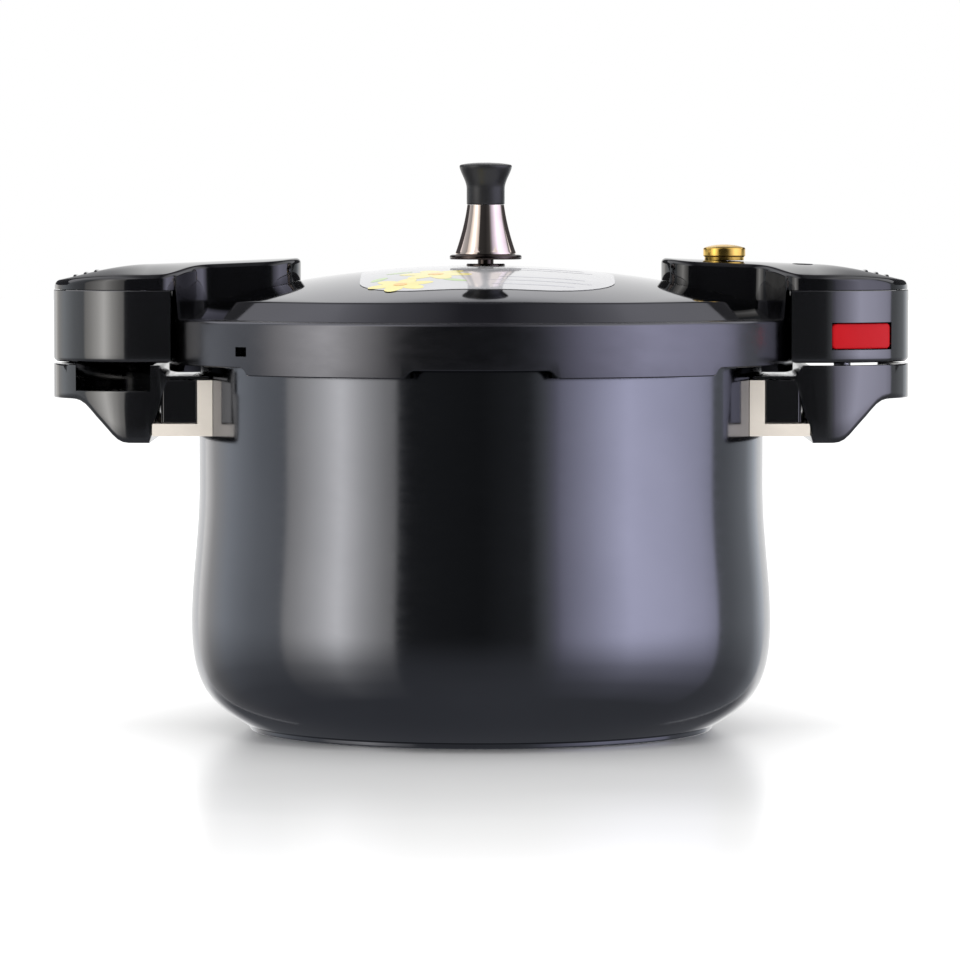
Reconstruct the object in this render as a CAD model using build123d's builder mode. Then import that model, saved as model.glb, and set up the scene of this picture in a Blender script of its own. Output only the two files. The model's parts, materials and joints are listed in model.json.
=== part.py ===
from build123d import *
import os

# Stovetop pressure cooker, millimetres. +Z is up, the origin is the middle of the base on the hob.
# The front is -Y. The handle with the steam valve and the lock button is at +X.

# ---- pot ----
WALL = 3.4
FLOOR = 5.5
FOOT_R = 110.0
BELLY_R = 137.4
BELLY_Z = 51.2
POT_R = 133.6
STRAIGHT_Z = 116.0
RIM_Z = 184.0

# ---- bayonet: six lugs on the pot over six lugs on the lid ----
LUGS = 6
OPEN_ANGLE = 30.0
POT_LUG_R = 143.4
POT_LUG_ANGLE = 24.0
POT_LUG_Z = 173.6
POT_LUG_T = 4.0
LID_LUG_R = 136.6
LID_LUG_ANGLE = 34.0
LID_LUG_T = 3.3

# ---- lid ----
SHEET = 3.0
SKIRT_R = 147.7
SKIRT_TOP = 194.8
SKIRT_GAP_Z = 173.6
SKIRT_LUG_Z = 170.0
LEDGE_R = 138.4
SHOULDER_R = 126.0
SHOULDER_Z = 203.4
DOME_INNER_R = 55.0
DOME_OUTER = (95.0, 212.0)
APEX_Z = 219.1

# ---- handles, drawn for the +X side ----
WING_CX = 155.5
WING_R = 47.0
ARM_HALF = 22.0
ARM_NOSE_X = 85.0
NOSE_LENGTH = 16.0
NECK_START = 127.0
NECK_END = 150.0
HOUSING_Z = 174.4
HOUSING_X = 144.7
SEAM_Z = 208.2
CROWN_Z = 220.2
CROWN_RISE = 3.1
COVER_LOW = 190.0
SHELL = 2.8
TRAY_TOP = 173.3
TRAY_FLOOR = 160.6
TRAY_WALL = 3.6

# ---- body handle bracket ----
BRACKET_X = 135.7
BRACKET_Z = 140.3
BRACKET_TOP = 166.4
BRACKET_T = 1.8
FLANGE_H = 5.8
CHEEK_X = 132.3
STRIP_X = 153.4
SCREW_SPOTS = [(146.0, -26.0), (146.0, 26.0)]
RIVET_R = 2.5
RIVET_Y = 12.0
RIVET_Z = 156.0

# ---- lock ----
BUTTON_SPOT = (178.0, -41.3)
BUTTON_WIDTH = 33.0
BUTTON_LOW = 180.8
BUTTON_TOP = 192.8
BUTTON_SHIFT = 1.9
PUSH = (-0.5, 0.8660254, 0.0)
ACROSS = (0.8660254, 0.5, 0.0)
BOLT_SPOT = (170.0, -20.0)
BOLT_R = 4.0
BOLT_TIP = 163.0
PLATE_Z = 180.4
PLATE_T = 2.4
RAMP_Z = 184.0
RAMP_SLOPE = 0.75
PIN_Z = 186.4

# ---- vent and weight near the middle, steam valve on the arm ----
VENT_X = 2.2
VENT_R = 3.8
VENT_TOP = 236.0
WEIGHT_LOW = 222.3
WEIGHT_FLANGE_R = 17.1
CAP_LOW = 248.2
CAP_TOP = 268.1
VALVE_X = 115.3
KNOB_R = 10.0
KNOB_LOW = 222.3
KNOB_TOP = 229.4
LID_SCREW_SPOTS = [(100.0, -9.0), (100.0, 9.0)]
COVER_SCREW_SPOTS = [(158.0, 34.0), (190.0, 12.0)]


def keep(part, name):
    """Label a finished piece and write it."""
    part.label = name
    export_step(part, f"parts/{name}.step")


def rivet_spots(x):
    """Places of the four rivets at a distance from the middle axis, pointing along X."""
    turned = (0, 90, 0)
    return [Location((side * x, y, RIVET_Z), turned) for side in (-1, 1) for y in (-RIVET_Y, RIVET_Y)]


def both_sides(spots):
    """The spots of the +X handle and the same spots on the -X handle."""
    return spots + [(-x, -y) for x, y in spots]


def other_side(part):
    """The same moulding on the -X side, turned half a turn."""
    return part.rotate(Axis.Z, 180)


def lock_plane(height):
    """Level plane at the button: local X runs along the button's face, local Y into the handle."""
    return Plane((BUTTON_SPOT[0], BUTTON_SPOT[1], height), x_dir=ACROSS, z_dir=(0, 0, 1))


def turned_part(outline):
    """A round part from its outline, given as (radius, height) corners."""
    with BuildPart() as turned:
        with BuildSketch(Plane.XZ):
            with BuildLine():
                Polyline(*outline, close=True)
            make_face()
        revolve(axis=Axis.Z)
    return turned.part


def at_vent(part):
    """Moves a part drawn about the Z axis to the vent's axis."""
    return part.translate((VENT_X, 0, 0))


def ring_sector(inner, outer, middle, width):
    """A flat ring sector, its angles in degrees from +X."""
    start = middle - width / 2
    with BuildSketch() as flat:
        with BuildLine():
            low = CenterArc((0, 0), inner, start, width)
            high = CenterArc((0, 0), outer, start, width)
            Line(low @ 0, high @ 0)
            Line(low @ 1, high @ 1)
        make_face()
    return flat.sketch


def wing_plan(inner_x, inset):
    """The D-shaped plan of a handle's wide outer part."""
    radius = WING_R - inset
    with BuildSketch() as flat:
        with BuildLine():
            Polyline((WING_CX, radius), (inner_x, radius), (inner_x, -radius), (WING_CX, -radius))
            CenterArc((WING_CX, 0), radius, -90, 180)
        make_face()
    return flat.sketch


def cover_plan(inset):
    """Arm and wing in one outline: round nose, straight arm, S-shaped flare and D-shaped end."""
    half = ARM_HALF - inset
    wide = WING_R - inset
    nose = ARM_NOSE_X + inset
    nose_end = nose + NOSE_LENGTH
    with BuildSketch() as flat:
        with BuildLine():
            CenterArc((WING_CX, 0), wide, -90, 180)
            for side in (-1, 1):
                Bezier((nose, 0), (nose, side * half * 0.55), (nose + NOSE_LENGTH * 0.45, side * half),
                       (nose_end, side * half))
                Line((nose_end, side * half), (NECK_START, side * half))
                Bezier((NECK_START, side * half), (NECK_START + 11 + inset, side * half),
                       (NECK_START + 12 + inset, side * wide), (NECK_END, side * wide))
                Line((NECK_END, side * wide), (WING_CX, side * wide))
        make_face()
    return flat.sketch


def crown_section(drop):
    """Half the cover's cross-section from its ridge out past its rounded edge."""
    with BuildSketch() as flat:
        with BuildLine():
            ridge = (0, CROWN_Z - drop)
            shoulder = (42.5, CROWN_Z - 7.0 - drop)
            edge = (WING_R + 1, CROWN_Z - 13.2 - drop)
            Bezier(ridge, (14, CROWN_Z - drop), (28, CROWN_Z - 3.4 - drop), shoulder)
            Bezier(shoulder, (45.4, CROWN_Z - 7.8 - drop), (WING_R, CROWN_Z - 9.4 - drop), edge)
            Polyline(edge, (WING_R + 1, 150), (0, 150), ridge)
        make_face()
    return flat.sketch


def cover_form(inset, drop):
    """The crowned solid of a handle cover: arched arm and flare, then a domed half-round end."""
    run = WING_CX - ARM_NOSE_X + 5
    with BuildPart() as form:
        with BuildSketch(Plane((WING_CX, 0, 0), x_dir=(0, 1, 0), z_dir=(1, 0, 0))):
            add(crown_section(drop))
            mirror(about=Plane.YZ)
        extrude(amount=(run ** 2 + CROWN_RISE ** 2) ** 0.5, dir=(-run, 0, CROWN_RISE))
        with BuildSketch(Plane.XY.offset(COVER_LOW)):
            add(cover_plan(inset))
            with Locations((WING_CX + 50, 0)):
                Rectangle(100, 120, mode=Mode.SUBTRACT)
        extrude(amount=45, mode=Mode.INTERSECT)
        with BuildSketch(Plane((WING_CX, 0, 0), x_dir=(0, -1, 0), z_dir=(-1, 0, 0))):
            add(crown_section(drop))
            with Locations(((WING_R - inset) / 2, COVER_LOW + 30)):
                Rectangle(WING_R - inset, 60, mode=Mode.INTERSECT)
        revolve(axis=Axis((WING_CX, 0, 0), (0, 0, 1)), revolution_arc=180)
    return form.part


def lid_outside(gap):
    """Everything inside the lid's outer surface, grown by a gap, to clear the handles from it."""
    with BuildPart() as body:
        with BuildSketch(Plane.XZ):
            with BuildLine():
                Polyline((0, 120), (SKIRT_R + gap, 120), (SKIRT_R + gap, SKIRT_TOP + gap),
                         (LEDGE_R + gap, SKIRT_TOP + gap), (SHOULDER_R + gap, SHOULDER_Z + gap))
                Bezier((SHOULDER_R + gap, SHOULDER_Z + gap), (DOME_OUTER[0], DOME_OUTER[1] + gap),
                       (DOME_INNER_R, APEX_Z + gap), (0, APEX_Z + gap))
                Line((0, APEX_Z + gap), (0, 120))
            make_face()
        revolve(axis=Axis.Z)
    return body.part


# ---------------------------------------------------------------- pot

def pot_body():
    """Spun pot: flat base, rounded belly, straight wall and six bayonet lugs below the rim."""
    with BuildPart() as pot:
        with BuildSketch(Plane.XZ):
            with BuildLine():
                Polyline((0, 0), (FOOT_R, 0), (FOOT_R, 2.2), (FOOT_R + 1.6, 2.6))
                Bezier((FOOT_R + 1.6, 2.6), (129, 12.6), (BELLY_R, 21.2), (BELLY_R, BELLY_Z))
                Bezier((BELLY_R, BELLY_Z), (BELLY_R, 72), (POT_R, 92), (POT_R, STRAIGHT_Z))
                Polyline((POT_R, STRAIGHT_Z), (POT_R, RIM_Z), (POT_R - WALL, RIM_Z),
                         (POT_R - WALL, STRAIGHT_Z))
                Bezier((POT_R - WALL, STRAIGHT_Z), (POT_R - WALL, 92), (BELLY_R - WALL, 72),
                       (BELLY_R - WALL, BELLY_Z + 1))
                Bezier((BELLY_R - WALL, BELLY_Z + 1), (BELLY_R - WALL, 25), (125, FLOOR), (106, FLOOR))
                Polyline((106, FLOOR), (0, FLOOR), (0, 0))
            make_face()
        revolve(axis=Axis.Z)
        fillet(pot.edges().group_by(Axis.Z)[-1], 1.0)
        with BuildSketch(Plane.XY.offset(POT_LUG_Z)):
            with PolarLocations(0, LUGS):
                add(ring_sector(POT_R - 1, POT_LUG_R, 0, POT_LUG_ANGLE))
        extrude(amount=POT_LUG_T)
        with Locations(*rivet_spots(POT_R)):
            Cylinder(RIVET_R + 0.05, 24, mode=Mode.SUBTRACT)
    return pot.part


def handle_bracket():
    """Folded sheet bracket: shelf, back plate on the pot, side flanges that rise into two cheeks."""
    half = WING_R
    side = half - BRACKET_T / 2
    height = BRACKET_TOP - BRACKET_Z
    with BuildPart() as bracket:
        with BuildSketch(Plane.XY.offset(BRACKET_Z)):
            with Locations(((STRIP_X + 120) / 2, 0)):
                Rectangle(STRIP_X - 120, 2 * half)
        extrude(amount=BRACKET_T)
        with BuildSketch(Plane.XY.offset(BRACKET_Z)):
            with Locations(((STRIP_X + 120) / 2, side), ((STRIP_X + 120) / 2, -side)):
                Rectangle(STRIP_X - 120, BRACKET_T)
        extrude(amount=FLANGE_H)
        with BuildSketch(Plane.XY.offset(BRACKET_Z)):
            with Locations(((CHEEK_X + 120) / 2, side), ((CHEEK_X + 120) / 2, -side)):
                Rectangle(CHEEK_X - 120, BRACKET_T)
            with Locations((BRACKET_X - 5, 0)):
                Rectangle(10, 2 * 42)
        extrude(amount=height)
        with BuildSketch(Plane.XY.offset(BRACKET_Z + BRACKET_T)):
            with Locations((BRACKET_X - BRACKET_T - 15, 0)):
                Rectangle(30, 2 * (half - BRACKET_T))
        extrude(amount=height, mode=Mode.SUBTRACT)
        with BuildSketch(Plane.XY.offset(BRACKET_Z - 1)):
            Circle(POT_R + 0.15)
        extrude(amount=height + 2, mode=Mode.SUBTRACT)
        with Locations(*rivet_spots(BRACKET_X)[2:]):
            Cylinder(RIVET_R + 0.05, 24, mode=Mode.SUBTRACT)
        low = BRACKET_Z - 0.4
        with Locations(*[(x, y, 0) for x, y in SCREW_SPOTS]):
            add(turned_part([(0, low), (4.6, low), (2.3, low + 2.3), (0, low + 2.3)]), mode=Mode.SUBTRACT)
    return bracket.part


def bracket_rivets():
    """Four solid rivets through bracket and pot wall, a head on each end."""
    with BuildPart() as rivets:
        with Locations(*rivet_spots(132.6)):
            Cylinder(RIVET_R, 7.4)
        for x, thick in ((BRACKET_X + 0.9, 1.7), (128.2, 1.5)):
            with Locations(*rivet_spots(x)):
                Cylinder(4.6, thick)
        fillet(rivets.edges().filter_by(GeomType.CIRCLE).filter_by(lambda e: e.radius > 4), 0.6)
    return rivets.part


def body_handle():
    """Moulded handle below the lid handle: hollow tray on top, grip wedge, root in the bracket."""
    root_x = BRACKET_X + 0.3
    root_half = WING_R - BRACKET_T - 0.4
    root_low = BRACKET_Z + BRACKET_T + 0.2
    root_top = BRACKET_TOP + 0.2
    with BuildPart() as handle:
        with BuildSketch(Plane.XZ.offset(-60)):
            with BuildLine():
                Polyline((164.5, 137), (154.8, 137), (146, 167.2), (150.2, TRAY_TOP), (210, TRAY_TOP),
                         (210, 157.2), (192, 157.2))
                Bezier((192, 157.2), (185.5, 157.2), (184, 153), (178, 147))
                Bezier((178, 147), (172, 141), (170.5, 137), (164.5, 137))
            make_face()
        extrude(amount=120)
        with BuildSketch(Plane.XY.offset(130)):
            add(wing_plan(140, 0))
        extrude(amount=50, mode=Mode.INTERSECT)
        rims = handle.edges().group_by(Axis.Z)[-1].sort_by(Axis.X)[-1]
        fillet(rims, 1.6)
        with BuildSketch(Plane.XY.offset(BRACKET_Z - 0.3)):
            with Locations((STRIP_X - 20 + 0.3, 0)):
                Rectangle(40, 100)
        extrude(amount=FLANGE_H + 0.6, mode=Mode.SUBTRACT)
        with BuildSketch(Plane.XY.offset(root_low)):
            with Locations((root_x + 12, 0)):
                Rectangle(24, 2 * root_half)
        extrude(amount=root_top - root_low)
        lip_low = BRACKET_Z + FLANGE_H + 0.3
        with BuildSketch(Plane.XY.offset(lip_low)):
            with Locations((CHEEK_X + 8.3, WING_R - 2.4), (CHEEK_X + 8.3, 2.4 - WING_R)):
                Rectangle(16, 4.4)
        extrude(amount=root_top - lip_low)
        with BuildSketch(Plane.XY.offset(root_top)):
            with Locations((137, 0)):
                Rectangle(22, 2 * root_half)
        extrude(amount=1.8)
        with Locations(*rivet_spots(root_x)[2:]):
            Cylinder(5.4, 6, mode=Mode.SUBTRACT)
        with BuildSketch(Plane.XY.offset(130)):
            Circle(POT_R + 0.5)
        extrude(amount=45, mode=Mode.SUBTRACT)
        with BuildSketch(Plane.XY.offset(169.2)):
            Circle(SKIRT_R + 0.5)
        extrude(amount=5, mode=Mode.SUBTRACT)
        with BuildSketch(Plane.XY.offset(TRAY_FLOOR)):
            add(wing_plan(153.4, TRAY_WALL))
        extrude(amount=20, mode=Mode.SUBTRACT)
        with BuildSketch(Plane.XY.offset(TRAY_FLOOR + 0.7)):
            with Locations((172.2, WING_R - 3)):
                Rectangle(36, 14)
        extrude(amount=20, mode=Mode.SUBTRACT)
        with BuildSketch(Plane.XY.offset(BRACKET_Z)):
            with Locations(*SCREW_SPOTS):
                Circle(2.1)
        extrude(amount=16, mode=Mode.SUBTRACT)
    return handle.part


def body_handle_screws():
    """Four countersunk screws up through the bracket shelves into the body handles."""
    low = BRACKET_Z + 0.1
    with BuildPart() as screws:
        with Locations(*[(x, y, 0) for x, y in both_sides(SCREW_SPOTS)]):
            add(turned_part([(0, low), (3.95, low), (2.0, low + 1.95), (2.0, 155.5), (0, 155.5)]))
    return screws.part


# ---------------------------------------------------------------- lid

def lid_shell():
    """Pressed lid: shallow dome, stepped shoulder, flat ledge, deep skirt and six inner lugs."""
    with BuildPart() as lid:
        with BuildSketch(Plane.XZ) as wall:
            with BuildLine():
                Line((0, APEX_Z - SHEET), (0, APEX_Z))
                Bezier((0, APEX_Z), (DOME_INNER_R, APEX_Z), DOME_OUTER, (SHOULDER_R, SHOULDER_Z))
                Polyline((SHOULDER_R, SHOULDER_Z), (LEDGE_R, SKIRT_TOP), (SKIRT_R, SKIRT_TOP),
                         (SKIRT_R, SKIRT_LUG_Z), (SKIRT_R - SHEET, SKIRT_LUG_Z),
                         (SKIRT_R - SHEET, SKIRT_TOP - SHEET), (LEDGE_R - 1.6, SKIRT_TOP - SHEET),
                         (SHOULDER_R - 1.2, SHOULDER_Z - SHEET))
                Bezier((SHOULDER_R - 1.2, SHOULDER_Z - SHEET), (DOME_OUTER[0] - 1, DOME_OUTER[1] - SHEET),
                       (DOME_INNER_R, APEX_Z - SHEET), (0, APEX_Z - SHEET))
            make_face()
            corners = wall.vertices()
            fillet(corners.filter_by(lambda v: abs(v.X - SKIRT_R) < 0.1 and v.Z > 190), 1.6)
            fillet(wall.vertices().filter_by(lambda v: abs(v.X - LEDGE_R) < 0.1), 2.0)
            fillet(wall.vertices().filter_by(lambda v: abs(v.X - SHOULDER_R) < 0.1 and v.Z > 203), 6.0)
        revolve(axis=Axis.Z)
        with BuildSketch(Plane.XY.offset(SKIRT_LUG_Z - 0.5)):
            with PolarLocations(0, LUGS, start_angle=OPEN_ANGLE):
                add(ring_sector(SKIRT_R - SHEET - 1, SKIRT_R + 1, 0, 60 - LID_LUG_ANGLE))
        extrude(amount=SKIRT_GAP_Z - SKIRT_LUG_Z + 0.5, mode=Mode.SUBTRACT)
        with BuildSketch(Plane.XY.offset(SKIRT_LUG_Z)):
            with PolarLocations(0, LUGS):
                add(ring_sector(LID_LUG_R, SKIRT_R - SHEET + 0.5, 0, LID_LUG_ANGLE))
        extrude(amount=LID_LUG_T)
        with PolarLocations(SKIRT_R - SHEET / 2, 1, start_angle=-136):
            with Locations((0, 0, 181)):
                Box(8, 9, 4.4, mode=Mode.SUBTRACT)
        with BuildSketch(Plane.XY.offset(190)):
            with Locations((VENT_X, 0)):
                Circle(5.1)
            with Locations((VALVE_X, 0)):
                Circle(5.5)
            with Locations(*both_sides(LID_SCREW_SPOTS)):
                Circle(2.6)
        extrude(amount=40, mode=Mode.SUBTRACT)
    return lid.part


def lid_gasket():
    """Silicone sealing ring with a lip that lies on the pot's rim."""
    with BuildPart() as gasket:
        with BuildSketch(Plane.XZ) as section:
            with BuildLine():
                Polyline((144.3, 184.4), (144.3, 191.5), (137.6, 191.5), (137.6, 189.6), (142.2, 189.6),
                         (142.2, 187.0), (130.6, 186.6), (130.6, 184.6), (144.3, 184.4))
            make_face()
            fillet(section.vertices(), 0.35)
        revolve(axis=Axis.Z)
    return gasket.part


def lid_label():
    """Thin film with round corners on the dome, cut round the vent."""
    with BuildPart() as film:
        with BuildSketch(Plane.XY.offset(195)):
            with Locations((3, -48)):
                RectangleRounded(118, 104, 34)
            with Locations((VENT_X, 0)):
                Circle(10.6, mode=Mode.SUBTRACT)
        extrude(amount=40)
        add(lid_outside(0.3), mode=Mode.INTERSECT)
        add(lid_outside(0.08), mode=Mode.SUBTRACT)
    return film.part


def lid_handle_base(with_lock):
    """Housing of a lid handle: D-shaped box outside the skirt, bridge over the ledge, tongue on the dome."""
    bridge_x = WING_CX - 4
    with BuildPart() as base:
        with BuildSketch(Plane.XY.offset(HOUSING_Z)):
            add(wing_plan(HOUSING_X, 0))
            Circle(SKIRT_R + 0.15, mode=Mode.SUBTRACT)
        extrude(amount=SEAM_Z - HOUSING_Z)
        fillet(base.edges().group_by(Axis.Z)[0].sort_by(Axis.X)[-1], 2.0)
        with BuildSketch(Plane.XY.offset(HOUSING_Z + 2.4)):
            add(wing_plan(HOUSING_X + SHELL, SHELL))
            Circle(SKIRT_R + SHELL + 0.15, mode=Mode.SUBTRACT)
        extrude(amount=40, mode=Mode.SUBTRACT)
        with BuildSketch(Plane.XY.offset(SKIRT_TOP + 0.2)):
            add(cover_plan(SHELL + 0.8))
            with Locations((bridge_x + 40, 0)):
                Rectangle(80, 100, mode=Mode.SUBTRACT)
        extrude(amount=5)
        with BuildSketch(Plane.XY.offset(198)):
            add(cover_plan(SHELL + 1.2))
            with Locations((bridge_x + 36, 0)):
                Rectangle(80, 100, mode=Mode.SUBTRACT)
        extrude(amount=8)
        with BuildSketch(Plane.XY.offset(198)):
            add(cover_plan(SHELL + 2.4))
            with Locations((NECK_START + 50, 0)):
                Rectangle(100, 100, mode=Mode.SUBTRACT)
        extrude(amount=18.4)
        with BuildSketch(Plane.XY.offset(HOUSING_Z)):
            with Locations(*COVER_SCREW_SPOTS):
                Circle(4)
        extrude(amount=SEAM_Z - HOUSING_Z - 0.2)
        add(lid_outside(0.15), mode=Mode.SUBTRACT)
        with BuildSketch(Plane.XY.offset(HOUSING_Z - 1)):
            with Locations(*COVER_SCREW_SPOTS):
                Circle(1.7)
        extrude(amount=60, mode=Mode.SUBTRACT)
        with BuildSketch(Plane.XY.offset(HOUSING_Z - 1)):
            with Locations(*COVER_SCREW_SPOTS):
                Circle(3.2)
        extrude(amount=3.4, mode=Mode.SUBTRACT)
        with BuildSketch(Plane.XY.offset(198)):
            with Locations(*LID_SCREW_SPOTS):
                Circle(2.5)
        extrude(amount=17.4, mode=Mode.SUBTRACT)
        if with_lock:
            with BuildSketch(Plane.XY.offset(190)):
                with Locations((VALVE_X, 0)):
                    Circle(5.5)
            extrude(amount=40, mode=Mode.SUBTRACT)
            with BuildSketch(Plane.XY.offset(170)):
                with Locations(BOLT_SPOT):
                    Circle(BOLT_R + 0.06)
            extrude(amount=10, mode=Mode.SUBTRACT)
            with BuildSketch(lock_plane(BUTTON_LOW - 0.4)):
                with Locations((BUTTON_SHIFT, 4)):
                    Rectangle(BUTTON_WIDTH + 0.8, 20)
            extrude(amount=BUTTON_TOP - BUTTON_LOW + 0.8, mode=Mode.SUBTRACT)
    return base.part


def lid_handle_cover(with_lock):
    """Crowned glossy cover over arm and housing, with grip ribs near its outer end."""
    ribs = [182.0, 187.0, 192.0]
    with BuildPart() as cover:
        add(cover_form(0.4, 0))
        for x in ribs:
            with BuildPart(mode=Mode.PRIVATE) as rib:
                with BuildSketch(Plane.XY.offset(205)):
                    with Locations((x, 0)):
                        SlotOverall(24 - 0.4 * (x - 182), 2.2, rotation=90)
                extrude(amount=20)
                add(cover_form(0.4, -1.0), mode=Mode.INTERSECT)
            add(rib.part)
        if with_lock:
            with BuildPart(mode=Mode.PRIVATE) as pointer:
                with BuildSketch(Plane.XY.offset(205)):
                    with Locations((152, -8)):
                        Ellipse(8, 4)
                extrude(amount=20)
                add(cover_form(0.4, -0.7), mode=Mode.INTERSECT)
            add(pointer.part)
        add(cover_form(0.4 + SHELL, SHELL), mode=Mode.SUBTRACT)
        add(lid_outside(0.3), mode=Mode.SUBTRACT)
        with BuildSketch(Plane.XY.offset(180)):
            with Locations((NECK_START + 50, 0)):
                Rectangle(100, 100)
            Circle(SKIRT_R, mode=Mode.SUBTRACT)
        extrude(amount=SEAM_Z + 0.2 - 180, mode=Mode.SUBTRACT)
        with BuildSketch(Plane.XY.offset(SEAM_Z + 0.2)):
            with Locations(*COVER_SCREW_SPOTS):
                Circle(4)
            if with_lock:
                with Locations(BOLT_SPOT):
                    Circle(6.5)
        extrude(amount=5)
        with BuildSketch(Plane.XY.offset(SEAM_Z)):
            with Locations(*COVER_SCREW_SPOTS):
                Circle(1.55)
        extrude(amount=4, mode=Mode.SUBTRACT)
        if with_lock:
            with BuildSketch(Plane.XY.offset(200)):
                with Locations((VALVE_X, 0)):
                    Circle(3.5)
            extrude(amount=40, mode=Mode.SUBTRACT)
    return cover.part


def lid_handle_screws():
    """Four screws up through the dome into the tongues of the lid handles."""
    with BuildPart() as screws:
        for low, high, radius in ((202.4, 205.2, 4.4), (205.0, 214.6, 2.4)):
            with BuildSketch(Plane.XY.offset(low)):
                with Locations(*both_sides(LID_SCREW_SPOTS)):
                    Circle(radius)
            extrude(amount=high - low)
    return screws.part


def handle_cover_screws():
    """Four long screws up through the housings into the bosses of the covers."""
    with BuildPart() as screws:
        for low, high, radius in ((HOUSING_Z + 0.5, HOUSING_Z + 2.3, 3.0), (HOUSING_Z + 2, 211.4, 1.5)):
            with BuildSketch(Plane.XY.offset(low)):
                with Locations(*both_sides(COVER_SCREW_SPOTS)):
                    Circle(radius)
            extrude(amount=high - low)
    return screws.part


# ---------------------------------------------------------------- vent and weight

def vent_pipe():
    """Vent pipe: threaded foot through the lid, round boss on the dome, nozzle the weight sits on."""
    boss = APEX_Z + 0.1
    return turned_part([(1.5, 203), (5.0, 203), (5.0, boss), (9.2, boss), (9.2, boss + 0.7), (8.8, boss + 1.1),
                        (VENT_R, boss + 1.1), (VENT_R, VENT_TOP - 1.4), (2.6, VENT_TOP), (1.5, VENT_TOP)])


def vent_washer():
    """Silicone washer between the dome and the vent nut."""
    return turned_part([(5.1, 214.4), (9.0, 214.4), (9.0, 215.6), (5.1, 215.6)])


def vent_nut():
    """Hexagon nut that clamps the vent pipe from inside the lid."""
    with BuildPart() as nut:
        with BuildSketch(Plane.XY.offset(209.7)):
            RegularPolygon(8.6, 6)
            Circle(5.05, mode=Mode.SUBTRACT)
        extrude(amount=4.6)
        chamfer(nut.edges().filter_by(GeomType.LINE).group_by(Axis.Z)[0], 0.4)
    return nut.part


def vent_filter():
    """Slotted cup that keeps food out of the vent pipe."""
    with BuildPart() as cup:
        add(turned_part([(0, 200), (7.4, 200), (8.0, 200.6), (8.0, 209.6), (5.05, 209.6), (5.05, 208.4),
                         (7.0, 208.4), (7.0, 201.0), (0, 201.0)]))
        with PolarLocations(7.5, 8):
            with Locations((0, 0, 204.6)):
                Box(4, 1.6, 5, mode=Mode.SUBTRACT)
        with BuildSketch(Plane.XY.offset(199)):
            with PolarLocations(4, 6):
                Circle(0.8)
            Circle(0.8)
        extrude(amount=3, mode=Mode.SUBTRACT)
    return cup.part


def weight_flange():
    """Heavy steel disc at the bottom of the pressure weight."""
    return turned_part([(4.6, WEIGHT_LOW), (16.3, WEIGHT_LOW), (WEIGHT_FLANGE_R, WEIGHT_LOW + 0.8),
                        (WEIGHT_FLANGE_R, WEIGHT_LOW + 1.5), (16.3, WEIGHT_LOW + 2.3),
                        (4.6, WEIGHT_LOW + 2.3)])


def weight_bell():
    """Flared metal body of the weight, hollow so that it drops over the vent pipe."""
    foot = WEIGHT_LOW + 2.3
    with BuildPart() as bell:
        with BuildSketch(Plane.XZ):
            with BuildLine():
                Line((4.6, CAP_LOW), (4.6, foot))
                Polyline((4.6, foot), (15.4, foot), (15.4, foot + 1.0))
                Spline((15.4, foot + 1.0), (11.9, 236.5), (9.25, CAP_LOW), tangents=[(-0.4, 1), (-0.12, 1)])
                Line((9.25, CAP_LOW), (4.6, CAP_LOW))
            make_face()
        revolve(axis=Axis.Z)
    return bell.part


def weight_needle():
    """Steel plug in the bell whose cone closes the mouth of the vent pipe."""
    return turned_part([(0, VENT_TOP + 0.4), (0.7, VENT_TOP + 0.4), (4.55, VENT_TOP + 2.6), (4.55, 252),
                        (0, 252)])


def weight_cap():
    """Black heat-proof grip of the weight, waisted, with a slightly domed top."""
    with BuildPart() as cap:
        with BuildSketch(Plane.XZ):
            with BuildLine():
                Polyline((0, 252.1), (4.6, 252.1), (4.6, CAP_LOW), (9.0, CAP_LOW), (9.5, CAP_LOW + 0.5),
                         (9.5, CAP_LOW + 7.4))
                Bezier((9.5, CAP_LOW + 7.4), (9.5, CAP_LOW + 11), (11.6, CAP_LOW + 14), (12.35, CAP_TOP - 2.2))
                ThreePointArc((12.35, CAP_TOP - 2.2), (12.2, CAP_TOP - 1.7), (11.7, CAP_TOP - 1.4))
                TangentArc((0, CAP_TOP), (11.7, CAP_TOP - 1.4), tangent=(1, 0))
                Line((0, CAP_TOP), (0, 252.1))
            make_face()
        revolve(axis=Axis.Z)
    return cap.part


# ---------------------------------------------------------------- steam valve

def valve_knob():
    """Domed knob on top of the steam valve."""
    with BuildPart() as knob:
        with BuildSketch(Plane.XZ):
            with BuildLine():
                Polyline((0, KNOB_LOW), (8.6, KNOB_LOW), (8.6, KNOB_LOW + 2.0), (KNOB_R - 0.5, KNOB_LOW + 2.3),
                         (KNOB_R, KNOB_LOW + 2.9), (KNOB_R, KNOB_TOP - 2.4))
                ThreePointArc((KNOB_R, KNOB_TOP - 2.4), (9.5, KNOB_TOP - 1.5), (8.4, KNOB_TOP - 1.1))
                TangentArc((0, KNOB_TOP), (8.4, KNOB_TOP - 1.1), tangent=(1, 0))
                Line((0, KNOB_TOP), (0, KNOB_LOW))
            make_face()
        revolve(axis=Axis.Z)
    return knob.part.translate((VALVE_X, 0, 0))


def valve_stem():
    """Stem of the steam valve, from the knob down through handle and lid."""
    stem = turned_part([(0, 193.5), (2.2, 193.5), (2.2, 195.1), (4.0, 195.1), (4.0, 196.0), (3.0, 196.0),
                        (3.0, KNOB_LOW), (0, KNOB_LOW)])
    return stem.translate((VALVE_X, 0, 0))


def valve_seal():
    """Silicone disc that closes the valve bush from below."""
    seal = turned_part([(3.0, 196.0), (5.2, 196.0), (5.6, 196.4), (5.0, 198.2), (3.0, 198.2)])
    return seal.translate((VALVE_X, 0, 0))


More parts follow.
